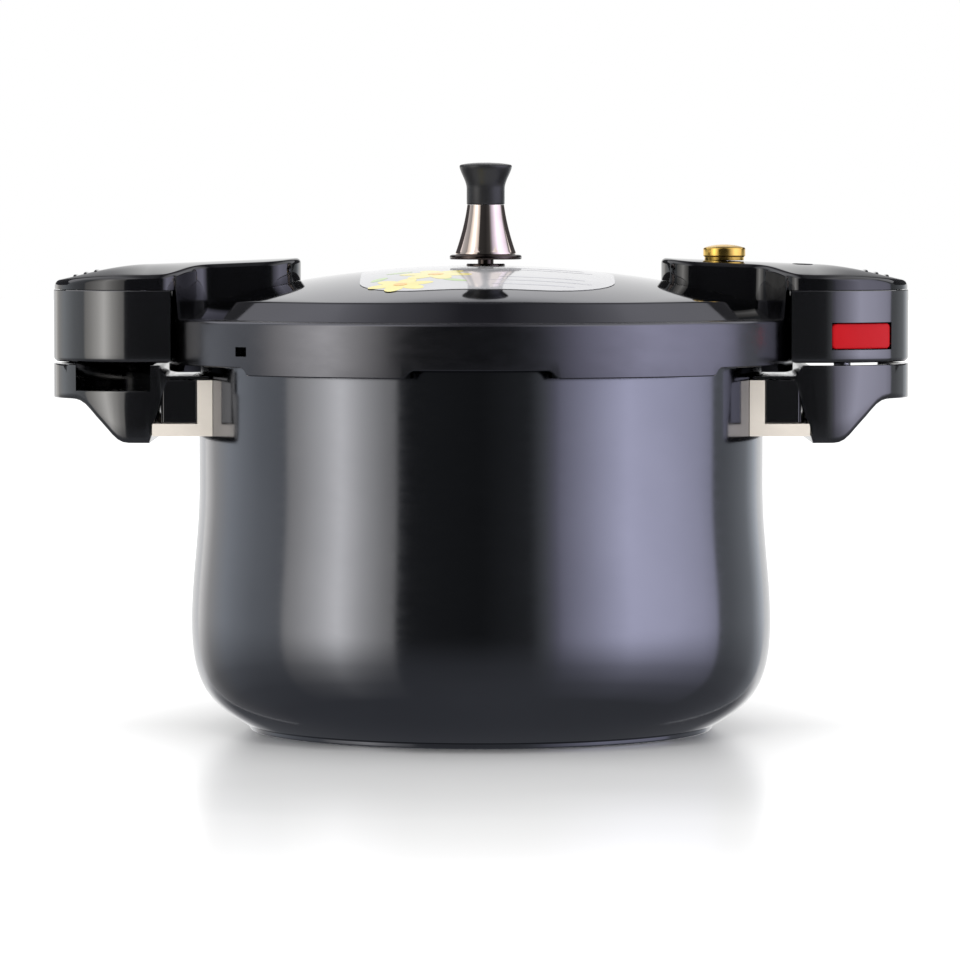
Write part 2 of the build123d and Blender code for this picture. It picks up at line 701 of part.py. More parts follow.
def valve_bush():
    """Guide bush pressed through lid and tongue."""
    bush = turned_part([(3.3, 203.2), (5.45, 203.2), (5.45, 216.4), (3.3, 216.4)])
    return bush.translate((VALVE_X, 0, 0))


# ---------------------------------------------------------------- lock

BOLT_ALONG = 22.45
BOLT_OFFSET = 3.72


def lock_button():
    """Push button whose face follows the round end of the housing."""
    with BuildPart() as button:
        with BuildSketch(lock_plane(BUTTON_LOW)):
            with Locations((BUTTON_SHIFT, -1.5)):
                Rectangle(BUTTON_WIDTH, 21)
        extrude(amount=BUTTON_TOP - BUTTON_LOW)
        fillet(button.edges().filter_by(Axis((0, 0, 0), PUSH)), 2.4)
        with BuildSketch(Plane.XY.offset(BUTTON_LOW - 1)):
            with Locations((WING_CX, 0)):
                Circle(WING_R - 0.5)
        extrude(amount=20, mode=Mode.INTERSECT)
    return button.part


def lock_slider():
    """Plate behind the button: a slot round the bolt and two ramps that lift it."""
    with BuildPart() as slider:
        with BuildSketch(lock_plane(PLATE_Z)):
            with Locations((BOLT_OFFSET, 20)):
                Rectangle(16, 22)
            with Locations((BOLT_OFFSET, BOLT_ALONG - 2)):
                Rectangle(9.4, 14, mode=Mode.SUBTRACT)
        extrude(amount=PLATE_T)
        plate_top = PLATE_Z + PLATE_T
        steep = BOLT_ALONG - 5
        for offset in (BOLT_OFFSET - 7.9, BOLT_OFFSET + 4.9):
            start = Vector(BUTTON_SPOT[0], BUTTON_SPOT[1], 0) + Vector(*ACROSS) * offset
            with BuildSketch(Plane(start, x_dir=PUSH, z_dir=ACROSS)):
                with BuildLine():
                    Polyline((steep, plate_top), (steep, RAMP_Z + 5 * RAMP_SLOPE),
                             (BOLT_ALONG + (RAMP_Z - plate_top) / RAMP_SLOPE, plate_top), close=True)
                make_face()
            extrude(amount=3)
    return slider.part


def button_guide():
    """Channel on the housing floor that guides the slider."""
    with BuildPart() as guide:
        with BuildSketch(lock_plane(HOUSING_Z + 2.45)):
            with Locations((BOLT_OFFSET, 23.5)):
                Rectangle(22, 20)
        extrude(amount=6.4)
        with BuildSketch(lock_plane(HOUSING_Z + 4.6)):
            with Locations((BOLT_OFFSET, 23.5)):
                Rectangle(16.6, 22)
        extrude(amount=10, mode=Mode.SUBTRACT)
        with BuildSketch(Plane.XY.offset(170)):
            with Locations(BOLT_SPOT):
                Circle(BOLT_R + 0.5)
        extrude(amount=20, mode=Mode.SUBTRACT)
    return guide.part


def latch_bolt():
    """Vertical bolt that drops from the lid handle into the tray of the body handle."""
    with BuildPart() as bolt:
        add(turned_part([(0, BOLT_TIP), (3.2, BOLT_TIP), (BOLT_R, BOLT_TIP + 0.8), (BOLT_R, 189.6), (5.2, 189.6),
                         (5.2, 191), (2.0, 191), (2.0, 200), (0, 200)]))
        with BuildSketch(Plane((0, 0, PIN_Z), x_dir=PUSH, z_dir=ACROSS)):
            Circle(1.55)
        extrude(amount=6, both=True, mode=Mode.SUBTRACT)
    return bolt.part.translate((BOLT_SPOT[0], BOLT_SPOT[1], 0))


def latch_pin():
    """Cross pin of the bolt, which rides on the slider's ramps."""
    with BuildPart() as pin:
        with BuildSketch(Plane((0, 0, PIN_Z), x_dir=PUSH, z_dir=ACROSS)):
            Circle(1.5)
        extrude(amount=7.6, both=True)
    return pin.part.translate((BOLT_SPOT[0], BOLT_SPOT[1], 0))


def latch_spring():
    """Coil spring that pushes the bolt down and, through the ramps, the button out."""
    low = 191.6
    high = 207.6
    with BuildPart() as spring:
        with BuildLine():
            Helix(pitch=2.6, height=high - low, radius=3.6, center=(0, 0, low))
        with BuildSketch(Plane((3.6, 0, low), x_dir=(1, 0, 0), z_dir=(0, -1, 0))):
            Circle(0.5)
        sweep(is_frenet=True)
    return spring.part.translate((BOLT_SPOT[0], BOLT_SPOT[1], 0))


# ---------------------------------------------------------------- write every piece

os.makedirs("parts", exist_ok=True)
bracket = handle_bracket()
grip = body_handle()
keep(pot_body(), "pot_body")
keep(bracket, "handle_bracket_right")
keep(other_side(bracket), "handle_bracket_left")
keep(bracket_rivets(), "bracket_rivets")
keep(grip, "body_handle_right")
keep(other_side(grip), "body_handle_left")
keep(body_handle_screws(), "body_handle_screws")
keep(lid_shell(), "lid_shell")
keep(lid_gasket(), "lid_gasket")
keep(lid_label(), "lid_label")
keep(lid_handle_base(True), "lid_handle_base_right")
keep(other_side(lid_handle_base(False)), "lid_handle_base_left")
keep(lid_handle_cover(True), "lid_handle_cover_right")
keep(other_side(lid_handle_cover(False)), "lid_handle_cover_left")
keep(lid_handle_screws(), "lid_handle_screws")
keep(handle_cover_screws(), "handle_cover_screws")
keep(at_vent(vent_pipe()), "vent_pipe")
keep(at_vent(vent_washer()), "vent_washer")
keep(at_vent(vent_nut()), "vent_nut")
keep(at_vent(vent_filter()), "vent_filter")
keep(valve_bush(), "valve_bush")
keep(button_guide(), "button_guide")
keep(latch_spring(), "latch_spring")
keep(at_vent(weight_flange()), "weight_flange")
keep(at_vent(weight_bell()), "weight_bell")
keep(at_vent(weight_needle()), "weight_needle")
keep(at_vent(weight_cap()), "weight_cap")
keep(valve_knob(), "valve_knob")
keep(valve_stem(), "valve_stem")
keep(valve_seal(), "valve_seal")
keep(lock_button(), "lock_button")
keep(lock_slider(), "lock_slider")
keep(latch_bolt(), "latch_bolt")
keep(latch_pin(), "latch_pin")
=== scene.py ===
import json
from math import atan2, cos, degrees, hypot, pi, radians, sin, sqrt, tan

import bmesh
import bpy
from mathutils import Matrix, Vector


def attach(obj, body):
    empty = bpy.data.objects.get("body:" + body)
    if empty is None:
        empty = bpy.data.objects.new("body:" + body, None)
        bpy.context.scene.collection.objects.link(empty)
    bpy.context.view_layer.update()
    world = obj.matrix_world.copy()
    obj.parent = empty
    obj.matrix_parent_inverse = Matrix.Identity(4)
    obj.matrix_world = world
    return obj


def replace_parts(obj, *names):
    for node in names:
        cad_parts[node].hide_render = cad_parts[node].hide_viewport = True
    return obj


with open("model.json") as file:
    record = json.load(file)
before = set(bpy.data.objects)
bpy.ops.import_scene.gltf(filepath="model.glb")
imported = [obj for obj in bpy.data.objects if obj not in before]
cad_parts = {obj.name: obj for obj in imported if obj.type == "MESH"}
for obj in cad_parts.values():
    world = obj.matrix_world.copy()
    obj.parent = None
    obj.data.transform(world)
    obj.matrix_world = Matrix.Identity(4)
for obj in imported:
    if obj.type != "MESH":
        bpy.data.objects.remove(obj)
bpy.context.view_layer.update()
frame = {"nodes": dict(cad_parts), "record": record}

# A stovetop pressure cooker in a pale studio. +Z up, front at -Y, lock button at +X.
# Pieces are drawn in millimetres, and new_object scales them by MM. The studio is in metres.
MM = 0.001
SCENE = bpy.context.scene
NODES = frame["nodes"]


# ---------------------------------------------------------------- shader helpers

def fill_ramp(ramp, stops):
    """Sets the stops of a colour ramp, given as (position, colour) or (position, grey)."""
    while len(ramp.elements) < len(stops):
        ramp.elements.new(0.5)
    for element, (position, level) in zip(ramp.elements, stops):
        colour = level if isinstance(level, tuple) else (level, level, level)
        element.position = position
        element.color = (*colour, 1)


class Shader:
    """One procedural material, built node by node."""

    def __init__(self, name):
        self.material = bpy.data.materials.new(name)
        self.material.use_nodes = True
        self.tree = self.material.node_tree
        self.bsdf = self.tree.nodes["Principled BSDF"]
        self.place = self.add("ShaderNodeTexCoord").outputs["Object"]

    def add(self, kind, **values):
        node = self.tree.nodes.new(kind)
        for key, value in values.items():
            setattr(node, key, value)
        return node

    def link(self, out, into):
        self.tree.links.new(out, into)

    def set(self, **values):
        for key, value in values.items():
            self.bsdf.inputs[key.replace("_", " ")].default_value = value

    def stretched(self, scale):
        """Object coordinates scaled along each axis."""
        node = self.add("ShaderNodeMapping")
        node.inputs["Scale"].default_value = scale
        self.link(self.place, node.inputs["Vector"])
        return node.outputs["Vector"]

    def turned(self, round_scale, height_scale):
        """Coordinates round the Z axis: angle, radius and height, for spun and turned marks."""
        split = self.add("ShaderNodeSeparateXYZ")
        self.link(self.place, split.inputs[0])
        radius = self.add("ShaderNodeVectorMath", operation="LENGTH")
        flat = self.add("ShaderNodeCombineXYZ")
        self.link(split.outputs[0], flat.inputs[0])
        self.link(split.outputs[1], flat.inputs[1])
        self.link(flat.outputs[0], radius.inputs[0])
        angle = self.add("ShaderNodeMath", operation="ARCTAN2")
        self.link(split.outputs[1], angle.inputs[0])
        self.link(split.outputs[0], angle.inputs[1])
        joined = self.add("ShaderNodeCombineXYZ")
        self.link(angle.outputs[0], joined.inputs[0])
        self.link(radius.outputs["Value"], joined.inputs[1])
        self.link(split.outputs[2], joined.inputs[2])
        node = self.add("ShaderNodeMapping")
        node.inputs["Scale"].default_value = (round_scale, height_scale, height_scale)
        self.link(joined.outputs[0], node.inputs["Vector"])
        return node.outputs["Vector"]

    def noise(self, vector, scale, detail=3.0):
        """Cloudy noise over the given coordinates."""
        node = self.add("ShaderNodeTexNoise")
        node.inputs["Scale"].default_value = scale
        node.inputs["Detail"].default_value = detail
        node.inputs["Roughness"].default_value = 0.55
        self.link(vector, node.inputs["Vector"])
        return node.outputs["Fac"]

    def ramp(self, fac, stops):
        """A colour ramp of (position, colour) stops."""
        node = self.add("ShaderNodeValToRGB")
        fill_ramp(node.color_ramp, stops)
        self.link(fac, node.inputs["Fac"])
        return node.outputs["Color"]

    def share(self, value, low, high):
        """A number that runs from 0 to 1 as value runs from low to high."""
        node = self.add("ShaderNodeMapRange")
        node.inputs["From Min"].default_value = low
        node.inputs["From Max"].default_value = high
        self.link(value, node.inputs["Value"])
        return node.outputs["Result"]

    def between(self, fac, low, high):
        """A number that runs from low to high as fac runs over the middle of its range."""
        node = self.add("ShaderNodeMapRange")
        node.inputs["From Min"].default_value = 0.3
        node.inputs["From Max"].default_value = 0.7
        node.inputs["To Min"].default_value = low
        node.inputs["To Max"].default_value = high
        self.link(fac, node.inputs["Value"])
        return node.outputs["Result"]

    def bump(self, height, strength, distance):
        """Adds a bump on top of those already there."""
        node = self.add("ShaderNodeBump")
        node.inputs["Strength"].default_value = strength
        node.inputs["Distance"].default_value = distance
        self.link(height, node.inputs["Height"])
        socket = self.bsdf.inputs["Normal"]
        if socket.is_linked:
            self.link(socket.links[0].from_socket, node.inputs["Normal"])
        self.link(node.outputs["Normal"], socket)


def spun_metal(name, dark, light, low, high, lines=0.04):
    """Anodised spun aluminium: cloudy tone, uneven gloss and very fine marks round the axis."""
    s = Shader(name)
    s.set(Metallic=1.0)
    cloud = s.noise(s.place, 9.0, 4.0)
    s.link(s.ramp(cloud, [(0.25, dark), (0.75, light)]), s.bsdf.inputs["Base Color"])
    smear = s.noise(s.turned(3.0, 60.0), 4.0, 5.0)
    s.link(s.between(smear, low, high), s.bsdf.inputs["Roughness"])
    s.bump(s.noise(s.turned(1.5, 2600.0), 1.0, 2.0), lines, 0.00004)
    return s.material


def metal(name, colour, low, high, bump=0.06):
    """Polished or brushed metal with fine scratches along one way."""
    s = Shader(name)
    s.set(Metallic=1.0)
    worn = tuple(min(1.0, c * 1.1) for c in colour)
    dull = tuple(c * 0.88 for c in colour)
    cloud = s.noise(s.place, 60.0, 3.0)
    s.link(s.ramp(cloud, [(0.3, dull), (0.7, worn)]), s.bsdf.inputs["Base Color"])
    brushed = s.noise(s.stretched((40, 40, 900)), 1.0, 4.0)
    s.link(s.between(brushed, low, high), s.bsdf.inputs["Roughness"])
    s.bump(brushed, bump, 0.00005)
    return s.material


def satin_sheet(name, colour, low, high):
    """Champagne anodised sheet: pale, silky, with a fine grain along the fold."""
    s = Shader(name)
    s.set(Metallic=0.08, IOR=1.6)
    dull = tuple(c * 0.9 for c in colour)
    cloud = s.noise(s.place, 45.0)
    s.link(s.ramp(cloud, [(0.3, dull), (0.7, colour)]), s.bsdf.inputs["Base Color"])
    grain = s.noise(s.stretched((30, 900, 900)), 1.0, 3.0)
    s.link(s.between(grain, low, high), s.bsdf.inputs["Roughness"])
    s.bump(grain, 0.05, 0.00004)
    return s.material


def moulded(name, dark, light, low, high, grain=0.05, ior=1.5):
    """Moulded plastic: slight tone change, faint flow ripple and a fine surface grain."""
    s = Shader(name)
    s.set(IOR=ior)
    cloud = s.noise(s.place, 30.0, 3.0)
    s.link(s.ramp(cloud, [(0.3, dark), (0.7, light)]), s.bsdf.inputs["Base Color"])
    s.link(s.between(s.noise(s.place, 55.0, 4.0), low, high), s.bsdf.inputs["Roughness"])
    s.bump(s.noise(s.place, 34.0, 1.0), 0.10, 0.00025)
    s.bump(s.noise(s.place, 900.0, 2.0), grain, 0.00003)
    return s.material


def lid_gloss():
    """The lid's dome: the skirt's colour with a mirror-like anodised face."""
    return spun_metal("lid_gloss", (0.13, 0.13, 0.145), (0.16, 0.16, 0.175), 0.045, 0.075, lines=0.02)


def finish_nodes(materials):
    """Gives every carried-over CAD node the material of its record slot."""
    for part in frame["record"]["subparts"]:
        mesh = NODES[part["node"]].data
        mesh.materials.clear()
        mesh.materials.append(materials[part["material_slot"]])


def make_materials():
    """All the finishes, by the record's slot names."""
    pitch, soot = (0.0015, 0.0015, 0.002), (0.003, 0.003, 0.004)
    rubber, worn_rubber = (0.016, 0.016, 0.018), (0.026, 0.026, 0.028)
    return {
        "anodised_dark": spun_metal("anodised_dark", (0.20, 0.205, 0.225), (0.24, 0.245, 0.265), 0.09, 0.14),
        "anodised_lid": spun_metal("anodised_lid", (0.15, 0.15, 0.165), (0.18, 0.18, 0.195), 0.20, 0.27),
        "champagne_metal": satin_sheet("champagne_metal", (0.96, 0.88, 0.78), 0.30, 0.42),
        "steel": metal("steel", (0.62, 0.62, 0.64), 0.18, 0.32),
        "black_moulding": moulded("black_moulding", pitch, soot, 0.06, 0.10, ior=2.5),
        "black_gloss": moulded("black_gloss", pitch, soot, 0.03, 0.06, ior=1.8),
        "weight_cap_black": moulded("weight_cap_black", rubber, worn_rubber, 0.28, 0.38),
        "weight_bronze": metal("weight_bronze", (0.88, 0.74, 0.66), 0.04, 0.07, bump=0.02),
        "weight_dark": metal("weight_dark", (0.075, 0.06, 0.055), 0.10, 0.16, bump=0.02),
        "silicone": moulded("silicone", (0.42, 0.43, 0.45), (0.50, 0.51, 0.53), 0.42, 0.55),
        "label_film": moulded("label_film", (0.47, 0.47, 0.49), (0.53, 0.53, 0.55), 0.06, 0.10, grain=0.02),
        "gold_anodised": metal("gold_anodised", (1.0, 0.62, 0.14), 0.16, 0.24, bump=0.02),
        "bush_brass": metal("bush_brass", (0.75, 0.58, 0.30), 0.20, 0.32),
        "button_red": moulded("button_red", (0.44, 0.003, 0.007), (0.50, 0.005, 0.010), 0.18, 0.26, ior=1.25),
        "inner_nylon": moulded("inner_nylon", (0.74, 0.74, 0.70), (0.80, 0.80, 0.77), 0.40, 0.50),
    }


# ---------------------------------------------------------------- outlines and meshes

def bezier(a, b, c, d, steps):
    """Points of a cubic curve, both ends included. Works on tuples of any length."""
    points = []
    for i in range(steps + 1):
        t = i / steps
        weights = ((1 - t) ** 3, 3 * t * (1 - t) ** 2, 3 * t * t * (1 - t), t ** 3)
        points.append(tuple(sum(w * p[k] for w, p in zip(weights, (a, b, c, d))) for k in range(len(a))))
    return points


def rounded(corners, steps=6, closed=False):
    """An outline from (x, y, radius) corners, each rounded off with its own radius."""
    points = []
    count = len(corners)
    for i, (x, y, radius) in enumerate(corners):
        if radius == 0 or (not closed and i in (0, count - 1)):
            points.append((x, y))
            continue
        here = Vector((x, y))
        before = Vector(corners[i - 1][:2]) - here
        after = Vector(corners[(i + 1) % count][:2]) - here
        half = before.angle(after) / 2
        back = radius / tan(half)
        middle = here + (before.normalized() + after.normalized()).normalized() * (radius / sin(half))
        start = here + before.normalized() * back - middle
        end = here + after.normalized() * back - middle
        sweep = start.angle_signed(end)
        for k in range(steps + 1):
            turn = Matrix.Rotation(-sweep * k / steps, 2)
            spot = middle + turn @ start
            points.append((spot.x, spot.y))
    return points


def new_object(name, bm, material, body):
    """Turns a bmesh in millimetres into a piece that rides on a body."""
    bmesh.ops.scale(bm, vec=(MM, MM, MM), verts=bm.verts)
    bmesh.ops.recalc_face_normals(bm, faces=bm.faces)
    mesh = bpy.data.meshes.new(name)
    bm.to_mesh(mesh)
    bm.free()
    for face in mesh.polygons:
        face.use_smooth = True
    mesh.set_sharp_from_angle(angle=radians(35))
    mesh.materials.append(material)
    piece = bpy.data.objects.new(name, mesh)
    SCENE.collection.objects.link(piece)
    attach(piece, body)
    return piece


def lathe(bm, outline, around=256, centre=(0, 0), shape=None):
    """Spins an outline of (radius, height) points. shape(angle, radius, height) may move a point.

    A closed ring has no point on the axis. An outline that starts or ends on the axis is capped there.
    Returns the rows of vertices.
    """
    rows = []
    for radius, height in outline:
        if radius < 1e-6:
            rows.append([bm.verts.new((centre[0], centre[1], height))])
            continue
        row = []
        for i in range(around):
            angle = 2 * pi * i / around
            r, h = shape(angle, radius, height) if shape else (radius, height)
            row.append(bm.verts.new((centre[0] + r * cos(angle), centre[1] + r * sin(angle), h)))
        rows.append(row)
    pairs = list(zip(rows, rows[1:]))
    if len(rows[0]) > 1 and len(rows[-1]) > 1:
        pairs.append((rows[-1], rows[0]))
    for low, high in pairs:
        for i in range(around):
            j = (i + 1) % around
            if len(low) == 1 and len(high) == 1:
                continue
            if len(low) == 1:
                bm.faces.new((low[0], high[i], high[j]))
            elif len(high) == 1:
                bm.faces.new((low[i], low[j], high[0]))
            else:
                bm.faces.new((low[i], low[j], high[j], high[i]))
    return rows


# ---------------------------------------------------------------- spun parts

FOOT_R, BELLY_R, POT_R = 110.0, 137.4, 133.6
BELLY_Z, STRAIGHT_Z, RIM_Z = 51.2, 116.0, 184.0
WALL, FLOOR_T = 3.4, 5.5
LUG_COUNT = 6
POT_LUG_R, POT_LUG_Z, POT_LUG_T, POT_LUG_ANGLE = 143.4, 173.6, 4.0, 24.0
SKIRT_R, SKIRT_TOP, SHEET = 147.7, 194.8, 3.0
LEDGE_R, SHOULDER_R, SHOULDER_Z = 138.4, 126.0, 203.4
APEX_Z, DOME_INNER_R, DOME_OUTER = 219.1, 55.0, (95.0, 212.0)
SKIRT_LUG_Z, SKIRT_GAP_Z = 170.0, 173.6
LID_LUG_R, LID_LUG_T, LID_LUG_ANGLE = 136.6, 3.3, 34.0
SLOT_ANGLE, SLOT_LOW, SLOT_TOP, SLOT_COLUMNS = 222.0, 178.8, 183.2, 4


def sector_block(bm, inner, outer, low, high, middle, width, steps=14):
    """A solid ring sector, its angles in degrees from +X."""
    rings = []
    for radius, height in ((inner, low), (outer, low), (outer, high), (inner, high)):
        ring = []
        for i in range(steps + 1):
            angle = radians(middle - width / 2 + width * i / steps)
            ring.append(bm.verts.new((radius * cos(angle), radius * sin(angle), height)))
        rings.append(ring)
    for a, b in zip(rings, rings[1:] + rings[:1]):
        for i in range(steps):
            bm.faces.new((a[i], a[i + 1], b[i + 1], b[i]))
    for i in (0, steps):
        bm.faces.new([ring[i] for ring in rings])


def soften(piece, width):
    """Rounds a piece's sharp edges by a width in millimetres."""
    bevel = piece.modifiers.new("soft_edges", "BEVEL")
    bevel.width = width * MM
    bevel.segments = 2
    bevel.limit_method = "ANGLE"
    bevel.angle_limit = radians(40)
    bevel.harden_normals = True


def make_pot(material):
    """Pot in one mesh: ringed base, rounded belly, straight wall, rim and bayonet lugs."""
    wall_in = POT_R - WALL
    belly_in = BELLY_R - WALL
    outline = rounded([(0, 0, 0), (42, 0, 0), (43, 0.5, 0), (44, 0, 0), (72, 0, 0), (73, 0.5, 0), (74, 0, 0),
                       (FOOT_R, 0, 0.8), (FOOT_R, 2.2, 0.25), (FOOT_R + 1.6, 2.6, 0)], 4)
    outline += bezier(outline[-1], (129, 12.6), (BELLY_R, 21.2), (BELLY_R, BELLY_Z), 30)[1:]
    outline += bezier(outline[-1], (BELLY_R, 72), (POT_R, 92), (POT_R, STRAIGHT_Z), 16)[1:]
    outline += rounded([(POT_R, STRAIGHT_Z + 1, 0), (POT_R, RIM_Z, 1.4), (wall_in, RIM_Z, 1.4),
                        (wall_in, STRAIGHT_Z, 0)], 6)
    outline += bezier(outline[-1], (wall_in, 92), (belly_in, 72), (belly_in, BELLY_Z + 1), 14)[1:]
    outline += bezier(outline[-1], (belly_in, 25), (125, FLOOR_T), (106, FLOOR_T), 20)[1:]
    outline.append((0, FLOOR_T))
    bm = bmesh.new()
    lathe(bm, outline, 288)
    for k in range(LUG_COUNT):
        sector_block(bm, POT_R - 1, POT_LUG_R, POT_LUG_Z, POT_LUG_Z + POT_LUG_T, 60 * k, POT_LUG_ANGLE)
    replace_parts(new_object("pot_wall", bm, material, "pot"), "pot_body")


def skirt_edge(angle, radius, height):
    """The skirt's lower edge steps up between the lugs, with short slanted ends."""
    if radius < SKIRT_R - SHEET - 2 or height > SKIRT_GAP_Z - 2:
        return radius, height
    from_gap = abs((degrees(angle) % 60) - 30)
    slope = min(1.0, max(0.0, (30 - LID_LUG_ANGLE / 2 - from_gap) / 1.2 + 0.5))
    return radius, height + (SKIRT_GAP_Z - SKIRT_LUG_Z) * slope


def cut_slot(bm, rows, around):
    """Opens the small steam slot through the skirt's two walls and lines its edges."""
    first = round(around * SLOT_ANGLE / 360) - SLOT_COLUMNS // 2
    columns = [(first + i) % around for i in range(SLOT_COLUMNS + 1)]
    level = {}
    for row in rows:
        if len(row) > 1:
            spot = row[0].co
            for height in (SLOT_LOW, SLOT_TOP):
                if abs(spot.z - height) < 0.01 and spot.x > SKIRT_R - SHEET - 1:
                    level[(height, spot.x > SKIRT_R - 1)] = row
    gone = []
    for outer in (True, False):
        low, high = level[(SLOT_LOW, outer)], level[(SLOT_TOP, outer)]
        for a, b in zip(columns, columns[1:]):
            corners = {low[a], low[b], high[a], high[b]}
            gone += [f for f in low[a].link_faces if set(f.verts) == corners]
    bmesh.ops.delete(bm, geom=gone, context="FACES_ONLY")
    for height in (SLOT_LOW, SLOT_TOP):
        out_row, in_row = level[(height, True)], level[(height, False)]
        for a, b in zip(columns, columns[1:]):
            bm.faces.new((out_row[a], out_row[b], in_row[b], in_row[a]))
    for c in (columns[0], columns[-1]):
        bm.faces.new((level[(SLOT_LOW, True)][c], level[(SLOT_TOP, True)][c],
                      level[(SLOT_TOP, False)][c], level[(SLOT_LOW, False)][c]))


def dome_height(radius):
    """Height of the lid's dome at a radius from the axis."""
    low, high = 0.0, 1.0
    for _ in range(40):
        t = (low + high) / 2
        r = 3 * t * (1 - t) ** 2 * DOME_INNER_R + 3 * t * t * (1 - t) * DOME_OUTER[0] + t ** 3 * SHOULDER_R
        if r < radius:
            low = t
        else:
            high = t
    return (1 - t) ** 2 * (1 + 2 * t) * APEX_Z + 3 * t * t * (1 - t) * DOME_OUTER[1] + t ** 3 * SHOULDER_Z


def make_lid(skirt_finish, dome_finish):
    """Lid in one mesh: satin skirt, glossy dome from the shoulder inward."""
    around = 480
    skirt_in = SKIRT_R - SHEET
    dome = bezier((0, APEX_Z), (DOME_INNER_R, APEX_Z), DOME_OUTER, (SHOULDER_R, SHOULDER_Z), 30)[:-1]
    outline = dome + rounded([(*dome[-1], 0), (SHOULDER_R, SHOULDER_Z, 7), (LEDGE_R, SKIRT_TOP, 2.2),
                              (SKIRT_R, SKIRT_TOP, 1.7), (SKIRT_R, SLOT_TOP, 0), (SKIRT_R, SLOT_LOW, 0),
                              (SKIRT_R, SKIRT_LUG_Z, 0.6), (skirt_in, SKIRT_LUG_Z, 0.6),
                              (skirt_in, SLOT_LOW, 0), (skirt_in, SLOT_TOP, 0),
                              (skirt_in, SKIRT_TOP - SHEET, 1.0), (LEDGE_R - 1.6, SKIRT_TOP - SHEET, 1.0),
                              (SHOULDER_R - 1.2, SHOULDER_Z - SHEET, 0)], 7)[1:]
    outline += bezier(outline[-1], (DOME_OUTER[0] - 1, DOME_OUTER[1] - SHEET),
                      (DOME_INNER_R, APEX_Z - SHEET), (0, APEX_Z - SHEET), 20)[1:]
    bm = bmesh.new()
    rows = lathe(bm, outline, around, shape=skirt_edge)
    cut_slot(bm, rows, around)
    for k in range(LUG_COUNT):
        sector_block(bm, LID_LUG_R, skirt_in + 0.6, SKIRT_LUG_Z + 0.02, SKIRT_LUG_Z + LID_LUG_T, 60 * k,
                     LID_LUG_ANGLE - 1)
    lid = new_object("lid_dome_and_skirt", bm, skirt_finish, "lid")
    lid.data.materials.append(dome_finish)
    for face in lid.data.polygons:
        if face.center.z > (SKIRT_TOP + 1.2) * MM:
            face.material_index = 1
    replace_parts(lid, "lid_shell")


# ---------------------------------------------------------------- handles, drawn for the +X side

WING_CX, WING_R = 155.5, 47.0
ARM_HALF, ARM_NOSE_X, NOSE_LENGTH = 22.0, 85.0, 16.0
NECK_START, NECK_END = 127.0, 150.0
CROWN_Z, CROWN_RISE = 220.2, 3.1
COVER_GAP, SHELL, TONGUE_INSET = 0.4, 2.8, 4.2
HOUSING_Z, HOUSING_X, SEAM_Z = 174.4, 144.7, 208.2
BUTTON_SPOT = Vector((178.0, -41.3))
PUSH, ACROSS = Vector((-0.5, 0.8660254)), Vector((0.8660254, 0.5))
BUTTON_SHIFT, BUTTON_WIDTH, BUTTON_LOW, BUTTON_TOP = 1.9, 33.0, 180.8, 192.8
TRAY_TOP, TRAY_FLOOR, TRAY_WALL = 173.3, 160.6, 3.6
CROWN = bezier((0, 0), (14, 0), (28, 3.4), (42.5, 7.0), 24) + [(60, 11.34)]


def lid_surface(radius):
    """Height of the lid's outer surface at a radius."""
    if radius >= LEDGE_R:
        return SKIRT_TOP
    if radius <= SHOULDER_R:
        return dome_height(radius)
    return SHOULDER_Z + (SKIRT_TOP - SHOULDER_Z) * (radius - SHOULDER_R) / (LEDGE_R - SHOULDER_R)


def crown_height(x, y):
    """Height of a cover's crown: gently arched across, falling faster towards its outer end."""
    away = hypot(max(0.0, x - WING_CX), 0.75 * y)
    drop = CROWN[-1][1]
    for (x0, d0), (x1, d1) in zip(CROWN, CROWN[1:]):
        if x0 <= away <= x1:
            drop = d0 + (d1 - d0) * (away - x0) / (x1 - x0)
    run = WING_CX - ARM_NOSE_X + 5
    return CROWN_Z - drop + CROWN_RISE * max(0.0, WING_CX - x) / run


def cover_loop(inset):
    """Closed outline of a cover, moved in from the full outline."""
    half = ARM_HALF - inset
    wide = WING_R - inset
    nose = ARM_NOSE_X + inset
    end = nose + NOSE_LENGTH
    side = bezier((nose, 0), (nose, half * 0.55), (nose + NOSE_LENGTH * 0.45, half), (end, half), 14)
    side += [(end + (NECK_START - end) * i / 8, half) for i in range(1, 9)]
    side += bezier(side[-1], (NECK_START + 11 + inset, half), (NECK_START + 12 + inset, wide),
                   (NECK_END, wide), 20)[1:]
    side.append(((NECK_END + WING_CX) / 2, wide))
    for i in range(31):
        turn = radians(90 - 3 * i)
        side.append((WING_CX + wide * cos(turn), wide * sin(turn)))
    return side + [(x, -y) for x, y in reversed(side[1:-1])]


def bridge(bm, rows, closed=True):
    """Quads between neighbouring rows of vertices."""
    count = len(rows[0])
    last = count if closed else count - 1
    for low, high in zip(rows, rows[1:]):
        for i in range(last):
            j = (i + 1) % count
            corners = [low[i], low[j], high[j], high[i]]
            bm.faces.new(corners)


def put(bm, loop, height):
    """A row of vertices over a loop, at one height or at a height for each point."""
    level = height if callable(height) else lambda x, y: height
    return [bm.verts.new((x, y, level(x, y))) for x, y in loop]


def cover_foot(x, y):
    """Where a cover's side wall ends: on the lid, or at the seam on top of the housing."""
    radius = hypot(x, y)
    return SEAM_Z + 0.2 if radius > SKIRT_R - 0.3 else lid_surface(radius) + 0.1


def spine_point(x):
    """The point of a cover's spine level with x."""
    return Vector((min(max(x, ARM_NOSE_X + 22), WING_CX), 0))


